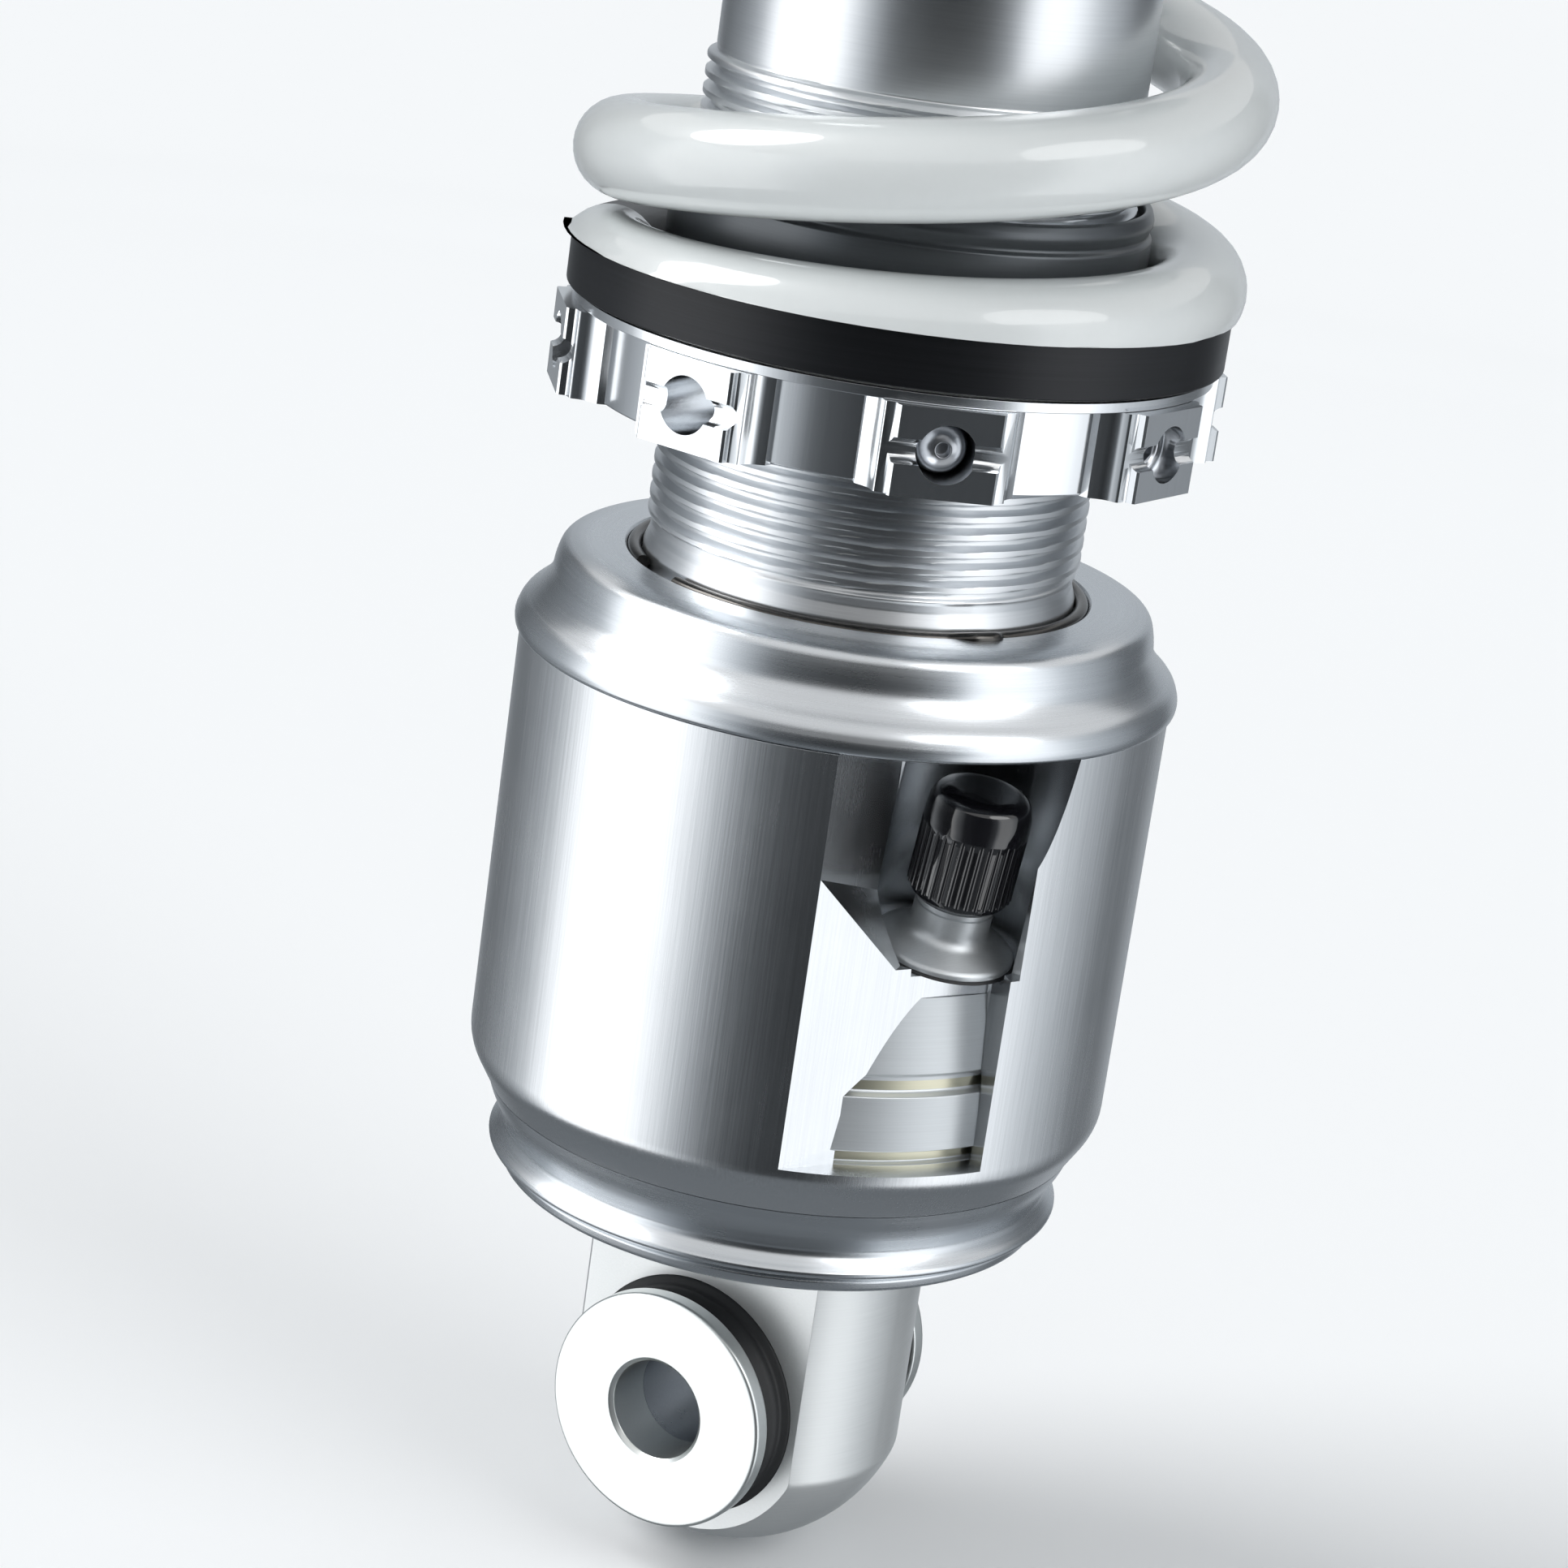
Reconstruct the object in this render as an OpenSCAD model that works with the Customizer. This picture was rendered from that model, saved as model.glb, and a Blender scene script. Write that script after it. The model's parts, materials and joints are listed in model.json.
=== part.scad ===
// Motorcycle rear shock absorber, drawn fully extended and standing on its canister end.
// The origin is the centre of the canister eye. +Z runs along the shock to the rod eye,
// the eye bolts run along Y, and the gas valve looks out between -Y and +X.
// An azimuth is counted from -Y towards +X.

/* [Canister eye] */
// Bolt bore of the eye spacers
bolt_bore_d = 12; // [10:0.5:12.5]
// Chamfer at the mouth of the bolt bore
bore_chamfer = 0.5; // [0.3:0.1:0.8]
// Width over the two spacers
spacer_width = 38.6; // [36:0.2:44]
// Diameter of a spacer's flange
spacer_flange_d = 28.8; // [26:0.2:29.2]
// Thickness of a spacer's flange
spacer_flange_t = 2.3; // [2:0.1:3]
// Diameter of the round stem that carries the eye
eye_d = 40; // [38:0.5:43]
// Radius of the eye's rounded end
eye_round_r = 21; // [20:0.5:23]
// Width across the two milled flats
eye_flats = 25; // [23:0.5:28]

/* [Eye bearing] */
// Outer diameter of the needle bearing
needle_od = 22; // [22:0.5:24]
// Diameter of one needle roller
roller_d = 2.5; // [2:0.1:2.6]
// Number of rollers in one bearing
roller_count = 18; // [12:1:19]
// Length of the needle bearing
needle_len = 18; // [14:1:20]
// Outer diameter of the rubber lip seal
eye_seal_d = 29.4; // [28:0.2:29.4]
// Depth of the seal's seat in the flat
seal_seat_depth = 2.4; // [2:0.1:3]

/* [Canister] */
// Height of the canister's underside over the eye centre
canister_z = 24.4; // [22:0.2:25]
// Radius of the rolled edge round the underside
bead_r = 34.1; // [33:0.1:35]
// Height of the rolled edge over the underside
bead_h = 3.1; // [3:0.1:5]
// Smallest radius of the waist above the rolled edge
waist_r = 32.4; // [32:0.1:33.5]
// Radius at the top of the waist
waist_top_r = 35.1; // [35:0.1:36]
// Height of the waist
waist_h = 7.6; // [7:0.1:10]
// Outer diameter of the brushed housing
housing_d = 75.4; // [74:0.2:78]
// Length of the brushed housing
housing_len = 54.4; // [52:0.2:58]
// Height of the bevel at the housing's lower edge
housing_bevel_h = 4.4; // [3:0.2:6]
// Diameter of the gas chamber
chamber_d = 54; // [50:1:56]
// Thickness of the canister floor over the underside
floor_t = 7; // [5:0.5:9]
// Radius of the cup's plug where its top closes the chamber
plug_top_r = 31.5; // [31.5:0.1:33]
// Radius of the cup's plug under the taper
plug_r = 34.4; // [34:0.1:34.6]
// Diameter of the oil passage through the housing
passage_d = 32; // [24:1:34]

/* [Valve pocket] */
// Azimuth of the gas valve
valve_az = 65; // [64:0.5:66]
// Distance of the valve seat from the shock's axis
valve_seat_r = 26.5; // [26:0.1:27]
// Height of the valve seat over the housing's lower edge
valve_seat_h = 28.8; // [28:0.1:30]
// Lean of the valve away from the shock's axis
valve_tilt = 9; // [7:0.5:10]
// Radius of the column that carries the valve
boss_r = 10; // [9.6:0.1:10.4]
// Distance of that column's centre from the shock's axis
boss_mid_r = 22; // [21.6:0.1:22.4]
// Radius of the spot face round the valve
spot_face_r = 9.3; // [8.9:0.1:9.6]
// Azimuth of the pocket's near edge
pocket_az_near = 31; // [29:0.5:33]
// Azimuth of the lower channel's near edge
channel_az_near = 30.5; // [30:0.5:32]
// Height of the channel's floor over the housing's lower edge
channel_floor_h = 6.1; // [5.5:0.1:7]
// Azimuth of the pocket's far edge
pocket_az_far = 68.5; // [68:0.5:71]
// Height of the wide upper pocket's floor at its near edge, over the housing's lower edge
upper_pocket_h = 39.8; // [38:0.2:42]
// Slope of that floor towards the valve
upper_pocket_slope = 55; // [50:1:58]
// Distance of the upper pocket's deepest corner from the shock's axis
upper_pocket_depth = 25; // [24.6:0.2:26]

/* [Gas valve] */
// Diameter of the valve's flange
valve_flange_d = 16; // [15:0.2:16.8]
// Height of the valve's conical foot
valve_foot_h = 3.4; // [3:0.1:4]
// Diameter of the valve's neck
valve_neck_d = 9; // [8:0.1:9.4]
// Height of the neck over the foot
valve_neck_h = 3.6; // [2.5:0.1:3.7]
// Diameter of the valve's threaded stem
valve_stem_d = 7.7; // [7:0.1:7.8]
// Length of the threaded stem
valve_stem_len = 4.4; // [3.6:0.1:4.4]
// Diameter of the cap
cap_d = 12; // [11:0.1:12]
// Height of the cap
cap_h = 13; // [11.5:0.1:13.2]

/* [Canister head] */
// Height of the head
head_h = 11; // [10.5:0.5:13]
// Largest radius of the head's rounded rim
head_rim_r = 38.5; // [38:0.1:40]
// Radius of the head's shoulder
shoulder_r = 34.5; // [33.5:0.1:35.5]
// Width of the recess round the thread that holds the wire ring
recess_w = 1.7; // [1.6:0.1:3]
// Depth of that recess
recess_depth = 1.4; // [1.2:0.1:3]
// Diameter of the ring's wire
ring_wire_d = 1.6; // [1.2:0.1:1.6]

/* [Damper tube] */
// Outer diameter of the thread
thread_d = 50; // [49.6:0.1:50.4]
// Pitch of the thread
thread_pitch = 2; // [1.5:0.5:2]
// Height of the thread's end over the canister head
thread_end_h = 57; // [54:0.2:62]
// Height of the thread's crests over the smooth tube
thread_rise = 1; // [0.9:0.1:1.2]
// Wall of the smooth tube
tube_wall = 1; // [0.8:0.1:1.5]
// Length of the tube
tube_len = 138.8; // [138:0.2:150]

/* [Preload] */
// Height of the collar's underside over the canister head
collar_lift = 18; // [15:0.2:20]
// Number of lugs round the collar
lug_count = 8; // [6:1:9]
// Azimuth of the first lug
lug_az = -4.5; // [-10:0.5:10]
// Height of a lug's corners over the hollows
lug_rise = 4.4; // [3.8:0.1:5]
// Width of a lug's flat
lug_w = 11.6; // [10:0.1:12.5]
// Height of a lug
lug_h = 9.8; // [9.4:0.1:11]
// Wall of the collar between its thread and the hollows
collar_wall = 8.8; // [8:0.1:9.4]
// Diameter of the spanner hole in a lug
spanner_hole_d = 6.4; // [5:0.1:6.8]
// Width of the groove across a lug
lug_groove_w = 2.8; // [2:0.1:3.2]
// Thickness of the collar's upper rim
collar_rim_t = 1.2; // [1:0.1:1.6]
// Thickness of the slip washer
slip_washer_t = 0.4; // [0.3:0.1:0.6]
// Width of the slip washer
slip_washer_w = 8.9; // [7:0.1:9.5]
// How far the black spring seat stays inside the spring's outside
seat_step = 1.1; // [0.4:0.1:1.8]
// Thickness of the black spring seat
seat_t = 6; // [5:0.2:8]
// Height of the spring guide over the seat
guide_h = 10.5; // [8:0.5:14]
// Way that the collar can be wound down from where it stands
preload_travel = 8; // [4:1:8]

/* [Spring] */
// Diameter of the spring's wire
wire_d = 11; // [10:0.2:11.2]
// Room between the thread and the spring guide
guide_room = 0.5; // [0.4:0.1:0.8]
// Wall of the spring guide
guide_wall = 1.5; // [1.2:0.1:1.8]
// Room between the spring guide and the spring
guide_clear = 0.4; // [0.4:0.1:0.8]
// Number of turns, end turns included
spring_turns = 7.3; // [6.3:0.25:8.3]
// Azimuth of the lower end of the wire
spring_tip_az = -60; // [-180:5:180]
// Free space between an end turn and the next
end_turn_gap = 0.6; // [0.5:0.1:1]
// Thickness left at the ground tip of the wire
tip_t = 2.2; // [2:0.1:3]
// Steps in one turn of the spring
steps_per_turn = 24; // [20:1:28]

/* [Rod side] */
// Travel of the rod
stroke = 56; // [48:1:56]
// Diameter of the rod
rod_d = 16; // [14:0.5:17]
// Length of the seal head inside the tube
seal_head_len = 18; // [18:1:22]
// Thickness of the seal head's cap on the tube
seal_cap_t = 5; // [4:0.5:6]
// Height of the bump stop
bump_h = 17; // [14:1:24]
// Diameter of the bump stop
bump_d = 38; // [32:1:40]
// Thickness of the rod-side spring retainer
retainer_t = 7; // [6:0.5:9]
// Diameter of the rod-side spring retainer
retainer_d = 78; // [77:0.5:80]
// Distance of the rod eye's centre from the top of the retainer
rod_eye_h = 31; // [30:0.5:40]
// Height of the piston
piston_h = 12; // [10:0.5:14]
// Room between the piston and the seal head when fully extended
top_out_h = 5; // [4:0.5:8]
// Height of the floating piston
gas_piston_h = 12; // [10:0.5:14]
// Height of the floating piston over the housing
gas_piston_z = 17.4; // [17.2:0.2:20]
// Diameter of the rebound adjuster knob
knob_d = 14; // [12:0.5:15]
// Height of the rebound adjuster knob
knob_h = 5; // [4:0.5:6]

/* [Hidden] */

$fn = 72;
slip = 0.05;          // radial clearance of a running fit
seat_gap = 0.04;      // clearance between pieces that are pressed or screwed together
far_out = 60;         // a length past everything, for cuts

// heights of the canister
bead_z = canister_z + bead_h;
waist_z = bead_z + waist_h;
housing_top = waist_z + housing_len;
head_top = housing_top + head_h;
chamber_floor = canister_z + floor_t;
cone_top = waist_z + 25.3;
cone_foot = waist_z + 16.3;
cone_groove = cone_foot - 2.2;
wall_foot = waist_z + 7.9;
lip_top = waist_z + channel_floor_h;
groove_depth = 0.9;
cone_lip = 0.2;
housing_r = housing_d / 2;
seat_z = waist_z + valve_seat_h;
plug_seal_r = chamber_d / 2 + 2.2;
pocket_step = 3.3;

// grooves of the O-rings, and the cords that lie in them
ring_foot = 3;
ring_w = 2.8;
ring_room = 1.9;
cord_r = ring_room / 2;
plug_cord_r = 1;

// diameters that follow the thread
tube_d = thread_d - 2 * thread_rise;
tube_bore_d = tube_d - 2 * tube_wall;
recess_d = thread_d + 2 * recess_w;
hollow_r = thread_d / 2 + collar_wall;
lug_r = hollow_r + lug_rise;
guide_in_r = thread_d / 2 + guide_room;
guide_r = guide_in_r + guide_wall;
spring_in_r = guide_r + guide_clear;
spring_od = 2 * (spring_in_r + wire_d);
seat_d = spring_od - 2 * seat_step;

// heights of the tube and what turns on it
tube_bottom = housing_top + seat_gap;
tube_top = tube_bottom + tube_len;
neck_len = 9.6;
thread_end = head_top + thread_end_h;
thread_start = head_top + 3;
collar_z = head_top + collar_lift;
collar_top = collar_z + lug_h + collar_rim_t;
seat_bottom = collar_top + slip_washer_t;
spring_foot = seat_bottom + seat_t;
thread_depth = 0.613 * thread_pitch;

// heights of the rod side, stacked from the tube up
rod_r = rod_d / 2;
seal_top = tube_top + seal_cap_t;
bump_z = seal_top + stroke + preload_travel + 2;
retainer_z = bump_z + bump_h;
rod_eye_z = retainer_z + retainer_t + rod_eye_h;
piston_top = tube_top - seal_head_len - top_out_h;
piston_z = piston_top - piston_h;
gas_piston_foot = housing_top + gas_piston_z;
bump_washer_t = 1.5;
clip_h = 3;
end_nut_h = 6.5;
eye_foot = retainer_z + 5 + clip_h + end_nut_h - 0.4;
knob_stem_r = 3;
knob_z = eye_foot + 1.2 + knob_d / 2;

// sizes of the eye bearing
needle_r = needle_od / 2;
cup_wall = 0.8;
sleeve_r = needle_r - cup_wall - roller_d - 2 * slip;
seal_out = (spacer_width - eye_flats) / 2 - spacer_flange_t - 0.3;

echo("distance between the eyes, mm", rod_eye_z);
echo("spring height, mm", retainer_z - spring_foot);

function polar(az, r) = [r * sin(az), -r * cos(az)];
function half_chord(r, d) = sqrt(r * r - d * d);

// places its children with their +Z along the valve, from the centre of the valve seat
module at_valve() {
    rotate([0, 0, valve_az]) translate([0, -valve_seat_r, seat_z]) rotate([valve_tilt, 0, 0])
        children();
}

module ring(r_out, r_in, h) {
    difference() {
        cylinder(r = r_out, h = h);
        translate([0, 0, -1]) cylinder(r = r_in, h = h + 2);
    }
}

module o_ring(r_mid, wire_r, z) {
    translate([0, 0, z]) rotate_extrude() translate([r_mid, 0]) circle(r = wire_r, $fn = 32);
}

// turns its children so that +Z runs along the eye bolt, towards -Y
module along_bolt(z) {
    translate([0, 0, z]) rotate([90, 0, 0]) children();
}

/* the canister */

module cup_outline() {
    polygon(concat(
        [[0, canister_z], [bead_r - 2.8, canister_z], [bead_r - 1.9, canister_z + 0.3],
         [bead_r - 1.4, canister_z + 0.9], [bead_r - 1.5, bead_z - 1], [bead_r - 0.2, bead_z - 0.4],
         [bead_r, bead_z], [bead_r - 0.3, bead_z + 0.4], [waist_r, bead_z + 1.6],
         [waist_r + 0.5, bead_z + waist_h * 0.4], [waist_top_r - 0.6, waist_z - 1.6],
         [waist_top_r, waist_z], [plug_r, waist_z], [plug_r, lip_top],
         [plug_r - groove_depth, lip_top], [plug_r - groove_depth, wall_foot],
         [plug_r, wall_foot], [plug_r, cone_groove], [plug_r - groove_depth, cone_groove],
         [plug_r - groove_depth, cone_foot], [plug_r - cone_lip, cone_foot],
         [plug_top_r, cone_top - 0.6], [plug_top_r, cone_top],
         [plug_seal_r + plug_cord_r + 0.1, cone_top],
         [plug_seal_r + plug_cord_r + 0.1, cone_top - 2 * plug_cord_r - 0.1],
         [plug_seal_r - plug_cord_r - 0.1, cone_top - 2 * plug_cord_r - 0.1],
         [plug_seal_r - plug_cord_r - 0.1, cone_top],
         [chamber_d / 2, cone_top], [chamber_d / 2, chamber_floor + 3],
         [chamber_d / 2 - 3, chamber_floor], [0, chamber_floor]]));
}

module eye_block(foot) {
    intersection() {
        translate([0, 0, -eye_round_r]) cylinder(r = eye_d / 2, h = eye_round_r + foot);
        translate([-far_out, -eye_flats / 2, -far_out]) cube([2 * far_out, eye_flats, 2 * far_out]);
        union() {
            sphere(r = eye_round_r);
            translate([-far_out, -far_out, 0]) cube([2 * far_out, 2 * far_out, far_out]);
        }
    }
}

module eye_bores() {
    rotate([90, 0, 0]) cylinder(r = needle_r, h = far_out, center = true);
    for (side = [-1, 1])
        rotate([90 * side, 0, 0]) translate([0, 0, eye_flats / 2 - seal_seat_depth])
            cylinder(r = eye_seal_d / 2, h = far_out);
}

module canister_cup() {
    color("silver") difference() {
        union() {
            rotate_extrude() cup_outline();
            eye_block(canister_z + 1);
        }
        eye_bores();
    }
}

// outline of the housing, its bore a hair wider than the cup's plug
module housing_outline() {
    polygon([
        [plug_r + seat_gap, waist_z + seat_gap], [waist_top_r, waist_z + seat_gap],
        [housing_r - 0.35, waist_z + housing_bevel_h - 0.5],
        [housing_r, waist_z + housing_bevel_h + 0.5],
        [housing_r, housing_top], [tube_bore_d / 2 - seat_gap, housing_top],
        [tube_bore_d / 2 - seat_gap, housing_top + ring_foot],
        [tube_bore_d / 2 - ring_room, housing_top + ring_foot],
        [tube_bore_d / 2 - ring_room, housing_top + ring_foot + ring_w],
        [tube_bore_d / 2 - seat_gap, housing_top + ring_foot + ring_w],
        [tube_bore_d / 2 - seat_gap, housing_top + neck_len], [passage_d / 2, housing_top + neck_len],
        [passage_d / 2, cone_top + seat_gap], [plug_top_r + seat_gap, cone_top + seat_gap],
        [plug_top_r + seat_gap, cone_top - 0.6], [plug_r - cone_lip + seat_gap, cone_foot],
        [plug_r + seat_gap, cone_foot - cone_lip]]);
}

// the long shallow channel below the valve, seen from above
module channel_outline() {
    polygon([polar(channel_az_near - 4, housing_r + 6), polar(channel_az_near, housing_r),
        polar(channel_az_near + 9.7, housing_r - 3.1), polar(channel_az_near + 15.3, housing_r - 3.8),
        polar(channel_az_near + 19.6, housing_r - 4.5), polar(channel_az_near + 25.4, housing_r - 5.6),
        polar(valve_az, boss_mid_r), polar(pocket_az_far + 10, housing_r - 7.7),
        polar(pocket_az_far - 1.5, housing_r), polar(pocket_az_far - 4, housing_r + 6)]);
}

// the wide pocket round the valve's cap, seen from above
module upper_outline() {
    polygon([polar(pocket_az_near - 0.7, housing_r + 6), polar(pocket_az_near - 0.6, housing_r),
        polar(pocket_az_near + 16.3, upper_pocket_depth),
        polar(pocket_az_far + 8, upper_pocket_depth + 2.5), polar(pocket_az_far + 0.7, housing_r + 6)]);
}

module upper_pocket() {
    intersection() {
        linear_extrude(height = housing_top + 5) upper_outline();
        rotate([0, 0, pocket_az_near]) translate([0, -housing_r, waist_z + upper_pocket_h])
            rotate([0, 0, 15 - pocket_az_near]) rotate([0, upper_pocket_slope, 0])
                translate([-far_out, -far_out, 0]) cube([2 * far_out, 2 * far_out, far_out]);
        translate([-far_out, -far_out, seat_z + pocket_step])
            cube([2 * far_out, 2 * far_out, housing_top - seat_z - pocket_step]);
    }
}

module canister_housing() {
    color("gainsboro") difference() {
        rotate_extrude() housing_outline();
        difference() {
            translate([0, 0, lip_top]) linear_extrude(height = seat_z - lip_top + 12)
                channel_outline();
            rotate([0, 0, valve_az]) translate([0, -boss_mid_r, 0])
                cylinder(r = boss_r, h = far_out * 2);
        }
        upper_pocket();
        intersection() {
            at_valve() cylinder(r = spot_face_r, h = far_out);
            translate([-far_out, -far_out, 0]) cube([2 * far_out, 2 * far_out, housing_top]);
        }
        at_valve() translate([0, 0, -2.6]) cylinder(r = valve_stem_d / 2 + seat_gap, h = 3);
        at_valve() translate([0, 0, -12]) cylinder(r = 1.5, h = 12);
    }
}

module head_outline() {
    bore = thread_d / 2 + seat_gap;
    cove = [for (i = [0:6]) let (a = i * 15)
        [shoulder_r + 2.6 * (1 - cos(90 - a)) + 0.1, housing_top + 4.6 + 2.4 * (1 - sin(90 - a))]];
    polygon(concat(
        [[bore, housing_top + seat_gap], [housing_r, housing_top + seat_gap],
         [head_rim_r - 0.2, housing_top + 0.9], [head_rim_r, housing_top + 1.9],
         [head_rim_r - 0.35, housing_top + 3.2], [head_rim_r - 1.2, housing_top + 4],
         [shoulder_r + 1.4, housing_top + 4.7], [shoulder_r + 0.4, housing_top + 5.6],
         [shoulder_r, housing_top + 7], [shoulder_r, head_top - 2.2],
         [shoulder_r - 0.3, head_top - 1.1], [shoulder_r - 1.1, head_top - 0.3],
         [shoulder_r - 2.2, head_top], [recess_d / 2 + 0.4, head_top],
         [recess_d / 2, head_top - 0.4], [recess_d / 2, head_top - recess_depth],
         [bore, head_top - recess_depth]]));
}

module canister_head() {
    color("silver") rotate_extrude() head_outline();
}

// spring-steel ring that lies in the head's recess, open at the back, with one bent end
module head_wire_ring() {
    ring_mid = recess_d / 2 - ring_wire_d / 2 - seat_gap;
    ring_z = head_top - recess_depth + ring_wire_d / 2;
    color("dimgray") translate([0, 0, ring_z]) difference() {
        rotate_extrude() translate([ring_mid, 0]) circle(r = ring_wire_d / 2, $fn = 32);
        rotate([0, 0, 78]) translate([-2.5, -far_out, -5]) cube([5, far_out, 10]);
    }
}

module canister_seals() {
    color("black") {
        o_ring(tube_bore_d / 2 - cord_r, cord_r - 0.02, housing_top + ring_foot + ring_w / 2);
        o_ring(plug_seal_r, plug_cord_r, cone_top - plug_cord_r - seat_gap);
    }
}

/* the damper tube */

// thread drawn as ridges of the right pitch, outline from the bottom up
function ridges(z0, z1) = let (n = floor((z1 - z0) / thread_pitch)) [for (i = [0:n - 1])
    let (z = z0 + i * thread_pitch)
    each [[thread_d / 2 - thread_depth, z], [thread_d / 2 - 0.12, z + thread_pitch * 0.44],
          [thread_d / 2 - 0.12, z + thread_pitch * 0.56]]];

module tube_outline() {
    polygon(concat(
        [[tube_bore_d / 2, tube_bottom], [thread_d / 2 - 0.1, tube_bottom],
         [thread_d / 2 - 0.1, head_top - recess_depth], [thread_d / 2 - 0.1, head_top - 0.4],
         [tube_d / 2 + 0.4, head_top + 2], [tube_d / 2 + 0.2, thread_start - 0.2]],
        ridges(thread_start, thread_end),
        [[tube_d / 2, thread_end + 0.6], [tube_d / 2, tube_top - 0.6],
         [tube_d / 2 - 0.6, tube_top], [tube_bore_d / 2 + 0.3, tube_top],
         [tube_bore_d / 2, tube_top - 0.3]]));
}

module damper_tube() {
    color("gainsboro") rotate_extrude() tube_outline();
}

module seal_head() {
    r = tube_bore_d / 2 - seat_gap;
    z0 = tube_top - seal_head_len;
    color("silver") rotate_extrude() polygon([
        [rod_r + 1.6, z0], [r, z0], [r, z0 + ring_foot], [r - ring_room, z0 + ring_foot],
        [r - ring_room, z0 + ring_foot + ring_w], [r, z0 + ring_foot + ring_w], [r, tube_top + seat_gap], [tube_d / 2, tube_top + seat_gap],
        [tube_d / 2, seal_top - 1], [tube_d / 2 - 1, seal_top], [rod_r + 4, seal_top],
        [rod_r + 4, seal_top - 4], [rod_r + 0.6, seal_top - 4], [rod_r + 0.6, seal_top - 6],
        [rod_r + 3.6, seal_top - 6], [rod_r + 3.6, seal_top - 11], [rod_r + 1.6, seal_top - 11]]);
}

module rod_bushing() {
    z0 = tube_top - seal_head_len;
    color("darkgoldenrod") translate([0, 0, z0 + 0.1])
        ring(rod_r + 1.6 - seat_gap, rod_r + slip, seal_top - 11 - z0 - 0.2);
}

module rod_seal() {
    color("black") translate([0, 0, seal_top - 11 + seat_gap]) rotate_extrude() polygon([
        [rod_r + slip, 0.6], [rod_r + 0.8, 0], [rod_r + 3.6 - seat_gap, 0],
        [rod_r + 3.6 - seat_gap, 4.8], [rod_r + 2.6, 4.9], [rod_r + 1.6, 3], [rod_r + slip, 4.4]]);
}

module dust_wiper() {
    color("black") translate([0, 0, seal_top - 4 + seat_gap]) rotate_extrude() polygon([
        [rod_r + 0.6, 0], [rod_r + 4 - seat_gap, 0], [rod_r + 4 - seat_gap, 3.8],
        [rod_r + 2.2, 3.9], [rod_r + 1.2, 5.2], [rod_r + slip, 5.6], [rod_r + slip, 4.6],
        [rod_r + 0.9, 3]]);
}

module seal_head_ring() {
    color("black") o_ring(tube_bore_d / 2 - seat_gap - cord_r, cord_r - 0.02,
        tube_top - seal_head_len + ring_foot + ring_w / 2);
}

/* the gas side */

module floating_piston() {
    r = tube_bore_d / 2 - slip;
    z = gas_piston_foot;
    color("silver") rotate_extrude() polygon([
        [0, z + 4], [r - 6, z + 4], [r - 5, z], [r - 0.6, z], [r, z + 0.6], [r, z + 2],
        [r - 1.5, z + 2], [r - 1.5, z + 5], [r, z + 5], [r, z + 6.4], [r - 2, z + 6.4],
        [r - 2, z + 9.4], [r, z + 9.4], [r, z + gas_piston_h - 0.6],
        [r - 0.6, z + gas_piston_h], [0, z + gas_piston_h]]);
}

module floating_piston_seal() {
    color("black") o_ring(tube_bore_d / 2 - slip - 1.02, 0.96, gas_piston_foot + 7.9);
}

module floating_piston_band() {
    color("sienna") translate([0, 0, gas_piston_foot + 2.05])
        ring(tube_bore_d / 2 - 0.02, tube_bore_d / 2 - slip - 1.46, 2.9);
}

module gas_valve_body() {
    top = valve_foot_h + valve_neck_h;
    nr = valve_neck_d / 2;
    fr = valve_flange_d / 2;
    color("silver") at_valve() rotate_extrude() polygon([
        [0.9, -2.5], [valve_stem_d / 2, -2.5], [valve_stem_d / 2, seat_gap], [fr - 0.5, seat_gap],
        [fr, 0.5], [fr, 0.9], [fr - 0.5, 1.3], [nr + 1.6, valve_foot_h - 1.2],
        [nr + 0.5, valve_foot_h - 0.4], [nr, valve_foot_h + 0.4], [nr, top - 1.2],
        [nr - 0.3, top - 1], [nr, top - 0.8], [nr, top - 0.5], [nr - 0.3, top - 0.3],
        [valve_stem_d / 2 - 0.2, top], [valve_stem_d / 2 - 0.2, top + valve_stem_len],
        [2.4, top + valve_stem_len], [2.4, 1], [0.9, 1]]);
}

module gas_valve_core() {
    top = valve_foot_h + valve_neck_h + valve_stem_len;
    color("goldenrod") at_valve() rotate_extrude() polygon([
        [0.65, 2.2], [1.8, 2.2], [2.4 - seat_gap, 3.4], [2.4 - seat_gap, top - 1.4],
        [0.65, top - 1.4]]);
}

module valve_core_pin() {
    top = valve_foot_h + valve_neck_h + valve_stem_len;
    color("goldenrod") at_valve() translate([0, 0, 2.3 + 1.3])
        cylinder(r = 0.6, h = top - 0.6 - 3.6);
}

module valve_cap_washer() {
    foot = valve_foot_h + valve_neck_h + valve_stem_len;
    color("black") at_valve() translate([0, 0, foot + 0.1])
        ring(valve_stem_d / 2 - 0.3, 1.4, 1);
}

// cap with ribs round its lower two thirds and a rounded smooth crown
module valve_cap() {
    foot = valve_foot_h + valve_neck_h + 0.15;
    r = cap_d / 2;
    inside = valve_stem_len + 1.1;
    color("black") at_valve() translate([0, 0, foot]) {
        difference() {
            rotate_extrude() polygon([
                [valve_stem_d / 2 - 0.1, 0], [r - 0.7, 0], [r - 0.25, 0.5], [r - 0.25, cap_h * 0.66],
                [r, cap_h * 0.69], [r, cap_h - 2.2], [r - 0.5, cap_h - 0.8], [r - 1.3, cap_h - 0.15],
                [r - 2.2, cap_h], [0, cap_h - 0.25], [0, inside], [valve_stem_d / 2 - 0.1, inside]]);
            for (i = [0:29]) rotate([0, 0, i * 12]) translate([r + 0.1, 0, 0.9])
                cylinder(r = 0.42, h = cap_h * 0.66 - 1.2, $fn = 24);
        }
    }
}

/* the eyes and their bearings */

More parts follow.
